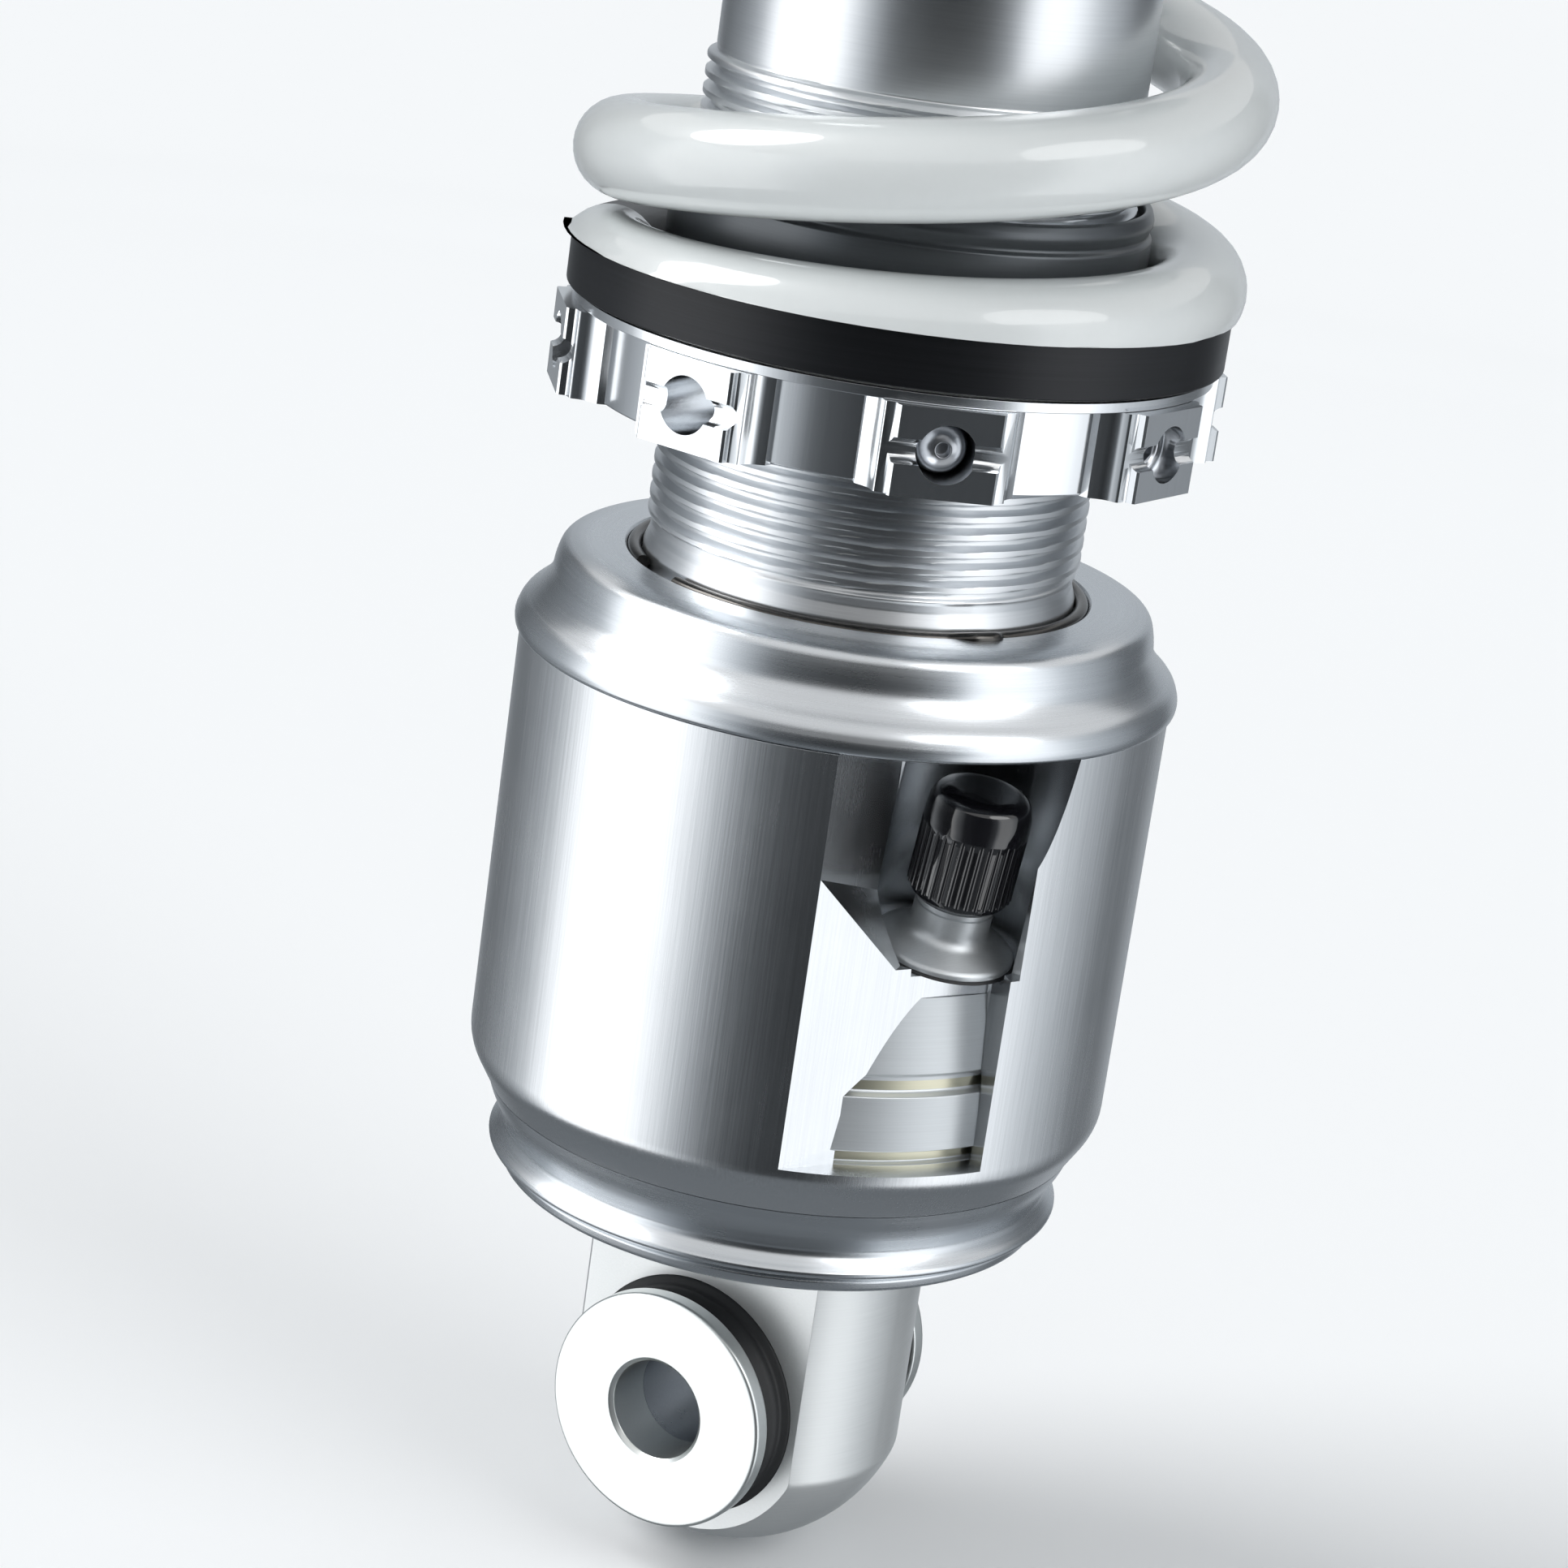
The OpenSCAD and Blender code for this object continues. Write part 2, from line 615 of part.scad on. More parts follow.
module needle_cup(z) {
    along_bolt(z) difference() {
        cylinder(r = needle_r - 0.02, h = needle_len, center = true);
        cylinder(r = needle_r - cup_wall, h = needle_len + 2, center = true);
    }
}

module needle_rollers(z) {
    mid = needle_r - cup_wall - slip - roller_d / 2;
    along_bolt(z) for (i = [0:roller_count - 1]) rotate([0, 0, i * 360 / roller_count])
        translate([mid, 0, 0]) cylinder(r = roller_d / 2, h = needle_len - 2, center = true, $fn = 24);
}

// two rubber lip seals, each in its seat in a flat, tapering towards the spacer's flange
module eye_seals(z) {
    foot = eye_flats / 2 - seal_seat_depth + 0.05;
    lip = eye_flats / 2 + seal_out;
    r = eye_seal_d / 2 - 0.05;
    for (side = [-1, 1]) along_bolt(z) mirror([0, 0, side > 0 ? 0 : 1]) rotate_extrude() polygon([
        [sleeve_r + slip, foot], [r, foot], [r, eye_flats / 2 - 0.1],
        [r - 0.9, eye_flats / 2 + 0.7], [r - 1.2, eye_flats / 2 + 1.6],
        [r - 2.3, lip - 0.6], [r - 2.9, lip], [sleeve_r + 1.5, lip], [sleeve_r + slip, lip - 1]]);
}

module inner_sleeve(z) {
    along_bolt(z) difference() {
        cylinder(r = sleeve_r, h = eye_flats, center = true);
        cylinder(r = bolt_bore_d / 2, h = eye_flats + 2, center = true);
    }
}

// flanged spacer on one side of an eye, its bore chamfered
module eye_spacer(z, side) {
    out = spacer_width / 2;
    b = bolt_bore_d / 2;
    r = spacer_flange_d / 2;
    along_bolt(z) mirror([0, 0, side > 0 ? 0 : 1]) rotate_extrude() polygon([
        [b, eye_flats / 2 + seat_gap], [sleeve_r, eye_flats / 2 + seat_gap],
        [sleeve_r, out - spacer_flange_t], [r - 0.4, out - spacer_flange_t],
        [r, out - spacer_flange_t + 0.4], [r, out - 0.6], [r - 0.6, out], [b + bore_chamfer, out],
        [b, out - bore_chamfer]]);
}

module lower_needle_cup() { color("lightsteelblue") needle_cup(0); }
module lower_needle_rollers() { color("silver") needle_rollers(0); }
module lower_eye_seals() { color("black") eye_seals(0); }
module lower_inner_sleeve() { color("silver") inner_sleeve(0); }
module lower_spacer_left() { color("lightgray") eye_spacer(0, 1); }
module lower_spacer_right() { color("lightgray") eye_spacer(0, -1); }

module upper_needle_cup() { color("lightsteelblue") needle_cup(rod_eye_z); }
module upper_needle_rollers() { color("silver") needle_rollers(rod_eye_z); }
module upper_eye_seals() { color("black") eye_seals(rod_eye_z); }
module upper_inner_sleeve() { color("silver") inner_sleeve(rod_eye_z); }
module upper_spacer_left() { color("lightgray") eye_spacer(rod_eye_z, 1); }
module upper_spacer_right() { color("lightgray") eye_spacer(rod_eye_z, -1); }

/* the preload adjuster */

guide_sink = 3.5;
lug_step = 360 / lug_count;
lug_flat = half_chord(lug_r, lug_w / 2);
collar_bore = thread_d / 2 + slip;
hole_floor = collar_bore + 2.2;

module lug_groove(az, z) {
    rotate([0, 0, az]) translate([0, -lug_flat - 0.2, z]) rotate([0, 90, 0])
        cylinder(r = lug_groove_w / 2, h = lug_w + 8, center = true, $fn = 32);
}

module spanner_hole(az, z) {
    rotate([0, 0, az]) translate([0, -hole_floor, z]) rotate([90, 0, 0])
        cylinder(r = spanner_hole_d / 2, h = far_out);
}

module preload_collar() {
    mid = collar_z + lug_h / 2;
    color("silver") difference() {
        union() {
            translate([0, 0, collar_z]) cylinder(r = hollow_r, h = lug_h);
            translate([0, 0, collar_z + lug_h]) cylinder(r = seat_d / 2 - 0.9, h = collar_rim_t);
            for (i = [0:lug_count - 1]) rotate([0, 0, lug_az + i * lug_step])
                translate([0, 0, collar_z]) linear_extrude(height = lug_h) polygon([
                    [-lug_w / 2 - 2.2, -hollow_r + 1.5], [-lug_w / 2 - 1, -lug_flat + 2.4],
                    [-lug_w / 2 - 0.6, -lug_flat + 0.6], [-lug_w / 2 + 0.2, -lug_flat],
                    [lug_w / 2 - 0.2, -lug_flat], [lug_w / 2 + 0.6, -lug_flat + 0.6],
                    [lug_w / 2 + 1, -lug_flat + 2.4], [lug_w / 2 + 2.2, -hollow_r + 1.5]]);
        }
        translate([0, 0, collar_z - 1]) cylinder(r = collar_bore, h = lug_h + 5);
        for (i = [0:lug_count - 1]) {
            lug_groove(lug_az + i * lug_step, mid);
            spanner_hole(lug_az + i * lug_step, mid);
        }
    }
}

// spring-loaded pin with a rounded nose that clicks in the second lug seen from the valve
module collar_detent_pin() {
    color("gray") rotate([0, 0, lug_az + lug_step]) translate([0, -hole_floor - 0.05, collar_z + lug_h / 2])
        rotate([90, 0, 0]) difference() {
            rotate_extrude() polygon([
                [0, 0], [spanner_hole_d / 2 - 0.06, 0], [spanner_hole_d / 2 - 0.06, 5.6],
                [2.7, 6.9], [1.7, 7.8], [0.9, 8.1], [0, 8.2]]);
            translate([0, 0, 6]) cylinder(r = 0.8, h = 4);
        }
}

module collar_lock_screw() {
    color("gray") rotate([0, 0, lug_az + 2 * lug_step])
        translate([0, -hole_floor - 0.05, collar_z + lug_h / 2]) rotate([90, 0, 0]) difference() {
            cylinder(r = spanner_hole_d / 2 - 0.06, h = 7.6);
            translate([0, 0, 4.8]) cylinder(r = 1.75, h = 6, $fn = 6);
        }
}

module slip_washer() {
    color("white") translate([0, 0, collar_top + 0.02])
        ring(thread_d / 2 + 0.4 + slip_washer_w, thread_d / 2 + 0.4, slip_washer_t - 0.04);
}

module spring_seat() {
    color("black") difference() {
        translate([0, 0, seat_bottom]) cylinder(r = seat_d / 2, h = seat_t);
        translate([0, 0, seat_bottom - 1]) cylinder(r = guide_in_r, h = seat_t + 2);
        translate([0, 0, spring_foot - guide_sink]) cylinder(r = guide_r + seat_gap, h = guide_sink + 2);
    }
}

// sleeve that stands in the seat and keeps the spring off the thread
module spring_guide() {
    r = guide_r;
    z = spring_foot - guide_sink;
    color("dimgray") rotate_extrude() polygon([
        [guide_in_r, z + seat_gap], [r, z + seat_gap], [r, spring_foot + guide_h - 2.6],
        [r - 0.5, spring_foot + guide_h - 2], [r - 0.1, spring_foot + guide_h - 1.4],
        [r - 0.5, spring_foot + guide_h - 0.2], [r - 1, spring_foot + guide_h],
        [guide_in_r, spring_foot + guide_h]]);
}

/* the spring, one unbroken wire with closed and ground ends */

wire_r = wire_d / 2;
coil_r = spring_od / 2 - wire_r;
spring_lo = spring_foot + 0.05;
spring_hi = retainer_z - 0.05;
tip_lo = spring_lo + tip_t - wire_r;
end_pitch = wire_d + end_turn_gap;
rise = spring_hi - spring_lo + 2 * (wire_r - tip_t);
free_pitch = end_pitch + (rise - end_pitch * spring_turns) / (spring_turns - 2);
blend_turns = 0.12;
wire_sides = 8;
side_pts = wire_sides / 2;
flat_share = sin(90 - 180 / wire_sides);
wire_steps = round(spring_turns * steps_per_turn);

// distance run past a bend in the pitch, rounded over blend_turns on either side
function past(t) = t < -blend_turns ? 0
    : t > blend_turns ? t : (t + blend_turns) * (t + blend_turns) / (4 * blend_turns);
function wire_z(t) = tip_lo + end_pitch * t
    + (free_pitch - end_pitch) * (past(t - 1) - past(t - spring_turns + 1));
function wire_bottom(t) = max(wire_z(t) - wire_r * flat_share, spring_lo);
function wire_top(t) = min(wire_z(t) + wire_r * flat_share, spring_hi);

// one section of the wire at turn t, cut flat where it meets the seat or the retainer
function wire_section(t) = let (
        zc = wire_z(t),
        a0 = asin((wire_bottom(t) - zc) / wire_r),
        a1 = asin((wire_top(t) - zc) / wire_r),
        right = [for (k = [0:side_pts - 1]) a0 + (a1 - a0) * k / (side_pts - 1)],
        left = [for (k = [side_pts - 1:-1:0]) 180 - right[k]],
        az = spring_tip_az + 360 * t)
    [for (a = concat(right, left)) let (r = coil_r + wire_r * cos(a))
        [r * sin(az), -r * cos(az), zc + wire_r * sin(a)]];

wire_points = [for (k = [0:wire_steps]) each wire_section(k * spring_turns / wire_steps)];
wire_faces = concat(
    [for (i = [1:wire_sides - 2]) [0, i + 1, i]],
    [for (k = [0:wire_steps - 1], i = [0:wire_sides - 1])
        let (a = k * wire_sides + i, b = k * wire_sides + (i + 1) % wire_sides)
        each [[a, b, b + wire_sides], [a, b + wire_sides, a + wire_sides]]],
    [for (i = [1:wire_sides - 2]) let (o = wire_steps * wire_sides) [o, o + i, o + i + 1]]);

// least free height between one turn and the next, measured at every step
turn_gaps = [for (k = [0:wire_steps - steps_per_turn])
    let (t = k * spring_turns / wire_steps) wire_bottom(t + 1) - wire_top(t)];
echo("least gap of the spring to itself, mm", min(turn_gaps));

module main_spring() {
    color("whitesmoke") polyhedron(points = wire_points, faces = wire_faces, convexity = 10);
}

/* the rod side */

needle_hole_r = 3;
shim_t = 0.3;
shim_step = shim_t + 0.05;
shim_count = 5;
shim_r = 18.5;
shim_fall = 2;
top_out_r = 14;
piston_nut_r = 11;
end_nut_r = 12.7;
oil_hole_r = 2.6;
clip_r = 14;
shim_room = shim_count * shim_step + 0.1;
nut_h = 9;
rod_thread_r = 6;
rod_neck_r = rod_r - 1;
rod_foot = piston_z - shim_room - nut_h - 5;
rod_head = rod_eye_z - needle_r - 3;
retainer_seat = retainer_z + 5;

module piston_rod() {
    color("silver") difference() {
        rotate_extrude() polygon([
            [0, rod_foot], [rod_thread_r - 0.6, rod_foot], [rod_thread_r, rod_foot + 0.6],
            [rod_thread_r, piston_top + shim_room], [rod_r, piston_top + shim_room],
            [rod_r, retainer_seat], [rod_neck_r, retainer_seat], [rod_neck_r, rod_head],
            [0, rod_head]]);
        translate([0, 0, rod_foot - 1]) cylinder(r = needle_hole_r, h = rod_head - rod_foot + 2);
    }
}

module piston() {
    r = tube_bore_d / 2 - 0.15;
    z = piston_z;
    color("silver") difference() {
        rotate_extrude() polygon([
            [rod_thread_r + seat_gap, z], [r - 1, z], [r, z + 1], [r, z + 3], [r - 1.4, z + 3],
            [r - 1.4, z + piston_h - 3], [r, z + piston_h - 3], [r, z + piston_h - 1],
            [r - 1, z + piston_h], [rod_thread_r + seat_gap, z + piston_h]]);
        for (i = [0:5]) rotate([0, 0, i * 60]) translate([(rod_thread_r + r) / 2, 0, z - 1])
            cylinder(r = oil_hole_r, h = piston_h + 2, $fn = 32);
    }
}

module piston_band() {
    color("sienna") translate([0, 0, piston_z + 3.05])
        ring(tube_bore_d / 2 - 0.03, tube_bore_d / 2 - 0.15 - 1.36, piston_h - 6.1);
}

// a stack of thin steel washers, largest against the piston
module shim_stack(z, way) {
    for (i = [0:shim_count - 1])
        translate([0, 0, z + way * (0.05 + i * shim_step) - (way < 0 ? shim_t : 0)])
            ring(shim_r - i * shim_fall, rod_thread_r + seat_gap, shim_t);
}

module compression_shims() { color("lightsteelblue") shim_stack(piston_top, 1); }
module rebound_shims() { color("lightsteelblue") shim_stack(piston_z, -1); }

module piston_nut() {
    color("gray") translate([0, 0, piston_z - shim_room - nut_h]) difference() {
        cylinder(r = piston_nut_r, h = nut_h, $fn = 6);
        translate([0, 0, -1]) cylinder(r = rod_thread_r + seat_gap, h = nut_h + 2);
    }
}

module top_out_washer() {
    color("black") translate([0, 0, piston_top + shim_room + 0.05])
        ring(top_out_r, rod_r + seat_gap, top_out_h - shim_room - 0.4);
}

module bump_stop() {
    r = bump_d / 2;
    z = bump_z;
    h = bump_h - bump_washer_t - 0.1;
    color("goldenrod") rotate_extrude() polygon([
        [rod_r + slip, z + 1], [rod_r + 1, z], [r - 7, z], [r - 4.5, z + 1.2], [r - 3.6, z + 3],
        [r - 3.8, z + h * 0.38], [r - 5.4, z + h * 0.46], [r - 5.4, z + h * 0.52],
        [r - 1.2, z + h * 0.62], [r, z + h * 0.76], [r - 0.6, z + h - 1], [r - 1.8, z + h],
        [rod_r + slip, z + h]]);
}

module bump_stop_washer() {
    color("silver") translate([0, 0, retainer_z - bump_washer_t - 0.05])
        ring(bump_d / 2, rod_r + slip, bump_washer_t);
}

// dished plate that holds the spring's upper end, with a slot-free round bore
module spring_retainer() {
    r = retainer_d / 2;
    inner = spring_in_r - guide_clear - 0.1;
    z = retainer_z;
    color("silver") rotate_extrude() polygon([
        [rod_r + slip, z], [bump_d / 2 + 1, z], [bump_d / 2 + 1.4, z - 3], [inner - 0.8, z - 4],
        [inner, z - 3.2], [inner, z], [r - 0.6, z], [r, z + 0.6], [r, z + 3.4], [r - 1.6, z + 4.4],
        [clip_r + 7, z + 5], [clip_r + 5, z + retainer_t], [clip_r, z + retainer_t],
        [clip_r, z + 5 - seat_gap], [rod_r + slip, z + 5 - seat_gap]]);
}

module retainer_clip() {
    color("gray") translate([0, 0, retainer_seat]) difference() {
        ring(clip_r - seat_gap, rod_neck_r + seat_gap, clip_h - 0.5);
        rotate([0, 0, 120]) translate([-rod_r, -far_out, -1]) cube([2 * rod_r, far_out, clip_h + 1]);
    }
}

module rod_end_nut() {
    color("gray") translate([0, 0, retainer_seat + clip_h - 0.45]) difference() {
        cylinder(r = end_nut_r, h = end_nut_h, $fn = 6);
        translate([0, 0, -1]) cylinder(r = rod_neck_r + seat_gap, h = end_nut_h + 2);
    }
}

module rod_end_eye() {
    color("silver") difference() {
        union() {
            translate([0, 0, rod_eye_z]) mirror([0, 0, 1]) eye_block(rod_eye_z - eye_foot - 3);
            translate([0, 0, eye_foot]) cylinder(r1 = eye_d / 2 - 3, r2 = eye_d / 2, h = 3);
        }
        translate([0, 0, rod_eye_z]) eye_bores();
        translate([0, 0, eye_foot - 1]) cylinder(r = rod_neck_r + seat_gap, h = rod_head - eye_foot + 1.4);
        at_knob() translate([0, 0, -5]) cylinder(r = knob_stem_r + slip, h = 12);
    }
}

// places its children with their +Z along the knob, out of the rod eye's +X side
module at_knob() {
    translate([eye_d / 2 + 0.3, 0, knob_z]) rotate([0, 90, 0]) children();
}

module rebound_needle() {
    color("gainsboro") translate([0, 0, rod_foot + 4])
        cylinder(r = needle_hole_r - slip, h = rod_head - rod_foot - 10);
}

// knurled knob on the eye's side that sets the rebound damping
module rebound_knob() {
    color("goldenrod") at_knob() difference() {
        union() {
            cylinder(r = knob_d / 2, h = knob_h);
            translate([0, 0, -2.6]) cylinder(r = knob_stem_r, h = 3);
        }
        for (i = [0:23]) rotate([0, 0, i * 15]) translate([knob_d / 2 + 0.2, 0, 1])
            cylinder(r = 0.6, h = knob_h, $fn = 24);
        translate([-knob_d / 2, -0.6, knob_h - 1.2]) cube([knob_d, 1.2, 3]);
    }
}

canister_cup();
canister_housing();
canister_head();
head_wire_ring();
canister_seals();
damper_tube();
seal_head();
rod_bushing();
rod_seal();
dust_wiper();
seal_head_ring();
gas_valve_body();
gas_valve_core();
valve_core_pin();
valve_cap_washer();
valve_cap();
floating_piston();
floating_piston_seal();
floating_piston_band();
lower_needle_cup();
lower_needle_rollers();
lower_eye_seals();
lower_inner_sleeve();
lower_spacer_left();
lower_spacer_right();
preload_collar();
collar_detent_pin();
collar_lock_screw();
slip_washer();
spring_seat();
spring_guide();
main_spring();
piston_rod();
piston();
piston_band();
compression_shims();
rebound_shims();
piston_nut();
top_out_washer();
bump_stop();
bump_stop_washer();
spring_retainer();
retainer_clip();
rod_end_eye();
rod_end_nut();
rebound_needle();
rebound_knob();
upper_needle_cup();
upper_needle_rollers();
upper_eye_seals();
upper_inner_sleeve();
upper_spacer_left();
upper_spacer_right();
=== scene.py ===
"""Rear shock absorber of a motorcycle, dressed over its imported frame.

Sizes are millimetres in the part's own frame: the origin is the centre of the canister eye,
+Z runs along the shock to the rod eye, and both eye bolts run along Y. An azimuth is counted
from -Y towards +X, which is where the gas valve looks out.
"""
import json
import logging
import math
from dataclasses import dataclass, field
from enum import Enum

import bmesh
import bpy
from mathutils import Matrix, Vector

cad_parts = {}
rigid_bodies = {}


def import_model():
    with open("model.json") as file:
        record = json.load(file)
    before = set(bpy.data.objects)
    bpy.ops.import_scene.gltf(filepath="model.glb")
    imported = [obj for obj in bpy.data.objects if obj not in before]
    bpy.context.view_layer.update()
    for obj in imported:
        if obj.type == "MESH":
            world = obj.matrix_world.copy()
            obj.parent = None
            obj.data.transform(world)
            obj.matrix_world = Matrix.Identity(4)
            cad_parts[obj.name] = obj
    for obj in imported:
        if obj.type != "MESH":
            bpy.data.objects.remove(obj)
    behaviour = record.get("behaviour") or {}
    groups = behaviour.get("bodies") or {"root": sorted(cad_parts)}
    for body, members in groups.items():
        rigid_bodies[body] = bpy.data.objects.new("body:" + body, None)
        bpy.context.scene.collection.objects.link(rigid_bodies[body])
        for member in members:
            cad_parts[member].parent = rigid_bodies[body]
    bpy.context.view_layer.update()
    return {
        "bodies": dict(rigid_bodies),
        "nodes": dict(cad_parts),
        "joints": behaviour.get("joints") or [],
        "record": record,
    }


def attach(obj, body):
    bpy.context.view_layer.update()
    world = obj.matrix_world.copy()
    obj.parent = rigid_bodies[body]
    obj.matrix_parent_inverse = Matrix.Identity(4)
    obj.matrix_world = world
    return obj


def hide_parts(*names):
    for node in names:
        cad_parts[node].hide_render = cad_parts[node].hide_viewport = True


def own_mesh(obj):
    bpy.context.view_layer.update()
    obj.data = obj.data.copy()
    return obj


MM = 0.001
LOG = logging.getLogger("shock")

Point = tuple[float, float]
Outline = list[tuple[float, ...]]
Colour = tuple[float, float, float]


class Grain(Enum):
    """Direction of the tool marks on a metal surface."""

    TURNED = "turned_lines"
    BRUSHED = "brushed_lines"
    BLASTED = "blasted_specks"


class Side(Enum):
    """Side of an eye that a spacer stands on, as the sign of its bolt direction."""

    LEFT = -1
    RIGHT = 1


@dataclass(frozen=True)
class Stack:
    """Heights over the canister eye at which the main faces stand, in millimetres."""

    canister: float = 24.4
    bead: float = 27.5
    waist: float = 35.1
    channel_floor: float = 41.2
    plug_wall: float = 42.9
    plug_ring: float = 49.3
    plug_neck: float = 51.7
    plug_top: float = 60.4
    valve_seat: float = 63.9
    pocket_floor: float = 64.0
    channel_top: float = 76.0
    housing_top: float = 89.5
    head_top: float = 100.5
    collar: float = 118.5
    collar_lugs_top: float = 128.3
    collar_top: float = 129.5
    seat: float = 129.9
    spring_foot: float = 135.9
    tube_top: float = 228.34
    seal_top: float = 233.34
    bump: float = 299.34
    retainer: float = 316.34
    rod_eye: float = 354.34


STACK = Stack()


def polar(azimuth: float, radius: float) -> Point:
    """Place of a point given by its azimuth in degrees and its distance from the axis."""
    turn = math.radians(azimuth)
    return radius * math.sin(turn), -radius * math.cos(turn)


# meshes


@dataclass(frozen=True)
class Corner:
    """One corner of a turned outline.

    Attributes:
        r: distance from the axis.
        z: height along the axis.
        soft: size of the rounding at the corner, 0 for a sharp one.
    """

    r: float
    z: float
    soft: float = 0.0


def soften(corners: Outline, steps: int = 5) -> list[Point]:
    """Turn corners into points, each rounding drawn as a short curve.

    Args:
        corners: radius, height and, where it is round, size of the rounding of each corner in order;
            the last one closes to the first.
        steps: number of straight pieces in one rounding.

    Returns:
        The points of the outline.
    """
    points: list[Point] = []
    count = len(corners)
    marked = [Corner(*corner) for corner in corners]
    for index, corner in enumerate(marked):
        here = Vector((corner.r, corner.z))
        if corner.soft <= 0:
            points.append((corner.r, corner.z))
            continue
        before = marked[index - 1]
        after = marked[(index + 1) % count]
        back = Vector((before.r, before.z)) - here
        on = Vector((after.r, after.z)) - here
        reach = min(corner.soft, 0.48 * back.length, 0.48 * on.length)
        start = here + back.normalized() * reach
        end = here + on.normalized() * reach
        for step in range(steps + 1):
            t = step / steps
            p = start * (1 - t) ** 2 + here * (2 * t * (1 - t)) + end * t ** 2
            points.append((p.x, p.y))
    return points


def new_object(name: str, mesh: bpy.types.Mesh) -> bpy.types.Object:
    """Link a mesh into the scene under a name and return its object."""
    obj = bpy.data.objects.new(name, mesh)
    bpy.context.scene.collection.objects.link(obj)
    return obj


def mesh_object(name: str, verts: list[Vector], faces: list[tuple[int, ...]]) -> bpy.types.Object:
    """Build a closed mesh from points in millimetres, with its faces turned outwards.

    Args:
        name: name of the object.
        verts: points in millimetres.
        faces: corner numbers of each face.

    Returns:
        The new object.
    """
    mesh = bpy.data.meshes.new(name)
    mesh.from_pydata([Vector(v) * MM for v in verts], [], faces)
    work = bmesh.new()
    work.from_mesh(mesh)
    bmesh.ops.remove_doubles(work, verts=work.verts, dist=1e-7)
    bmesh.ops.recalc_face_normals(work, faces=work.faces)
    work.to_mesh(mesh)
    work.free()
    return new_object(name, mesh)


def turned(name: str, points: list[Point], place: Matrix | None = None,
           segments: int = 128) -> bpy.types.Object:
    """Turn a closed outline round the local Z axis.

    Args:
        name: name of the object.
        points: outline of radius and height, closed from the last point to the first.
        place: matrix from the turned piece to the part's frame, in millimetres.
        segments: number of steps round the axis.

    Returns:
        The new object.
    """
    verts: list[Vector] = []
    rings: list[list[int]] = []
    for radius, height in points:
        if radius < 1e-6:
            rings.append([len(verts)])
            verts.append(Vector((0, 0, height)))
            continue
        ring = []
        for step in range(segments):
            turn = 2 * math.pi * step / segments
            ring.append(len(verts))
            verts.append(Vector((radius * math.sin(turn), -radius * math.cos(turn), height)))
        rings.append(ring)
    faces: list[tuple[int, ...]] = []
    for index, ring in enumerate(rings):
        following = rings[(index + 1) % len(rings)]
        if len(ring) == 1 and len(following) == 1:
            continue
        for step in range(segments):
            nxt = (step + 1) % segments
            if len(ring) == 1:
                faces.append((ring[0], following[nxt], following[step]))
            elif len(following) == 1:
                faces.append((ring[step], ring[nxt], following[0]))
            else:
                faces.append((ring[step], ring[nxt], following[nxt], following[step]))
    if place is not None:
        verts = [place @ v for v in verts]
    return mesh_object(name, verts, faces)


def prism(name: str, outline: list[Point], low: float, high: float,
          place: Matrix | None = None) -> bpy.types.Object:
    """Raise a flat outline between two heights into a closed solid.

    Args:
        name: name of the object.
        outline: plan of the solid.
        low: height of its lower face.
        high: height of its upper face.
        place: matrix from the solid to the part's frame, in millimetres.

    Returns:
        The new object.
    """
    count = len(outline)
    verts = [Vector((x, y, low)) for x, y in outline] + [Vector((x, y, high)) for x, y in outline]
    faces: list[tuple[int, ...]] = [tuple(range(count))[::-1], tuple(range(count, 2 * count))]
    for index in range(count):
        nxt = (index + 1) % count
        faces.append((index, nxt, count + nxt, count + index))
    if place is not None:
        verts = [place @ v for v in verts]
    return mesh_object(name, verts, faces)


def slab(name: str, low: float, high: float, place: Matrix | None = None, reach: float = 90.0,
         half: float | None = None) -> bpy.types.Object:
    """Build a broad plate that other pieces are trimmed with.

    Args:
        name: name of the plate.
        low: its lower face.
        high: its upper face.
        place: matrix to the part's frame, in millimetres.
        reach: half of its width.
        half: half of its depth, the same as the width when left out.

    Returns:
        The plate.
    """
    y = reach if half is None else half
    return prism(name, [(-reach, -y), (reach, -y), (reach, y), (-reach, y)], low, high, place)


def drum(name: str, radius: float, low: float, high: float, place: Matrix | None = None,
         segments: int = 96) -> bpy.types.Object:
    """Build a plain cylinder along the local Z axis."""
    outline = [polar(360 * step / segments, radius) for step in range(segments)]
    return prism(name, outline, low, high, place)


def bake_modifiers(obj: bpy.types.Object) -> None:
    """Replace an object's mesh by what its modifiers make of it, and drop them."""
    depsgraph = bpy.context.evaluated_depsgraph_get()
    mesh = bpy.data.meshes.new_from_object(obj.evaluated_get(depsgraph))
    obj.modifiers.clear()
    old = obj.data
    obj.data = mesh
    mesh.name = obj.name
    if old.users == 0:
        bpy.data.meshes.remove(old)


def carve(obj: bpy.types.Object, tools: list[bpy.types.Object], how: str = "DIFFERENCE") -> None:
    """Cut, join or keep what is common with each tool, and remove the tools.

    Args:
        obj: the object that is changed.
        tools: closed objects, used one after the other.
        how: name of the boolean operation.
    """
    for tool in tools:
        step = obj.modifiers.new("carve", "BOOLEAN")
        step.operation = how
        step.solver = "EXACT"
        step.object = tool
        bake_modifiers(obj)
        mesh = tool.data
        bpy.data.objects.remove(tool)
        bpy.data.meshes.remove(mesh)


def break_edges(obj: bpy.types.Object, width: float, angle: float = 32.0, steps: int = 2) -> None:
    """Take the sharpness off every edge steeper than an angle, as a deburring tool does."""
    step = obj.modifiers.new("edges", "BEVEL")
    step.width = width * MM
    step.segments = steps
    step.limit_method = "ANGLE"
    step.angle_limit = math.radians(angle)
    step.use_clamp_overlap = True
    step.miter_outer = "MITER_ARC"
    bake_modifiers(obj)


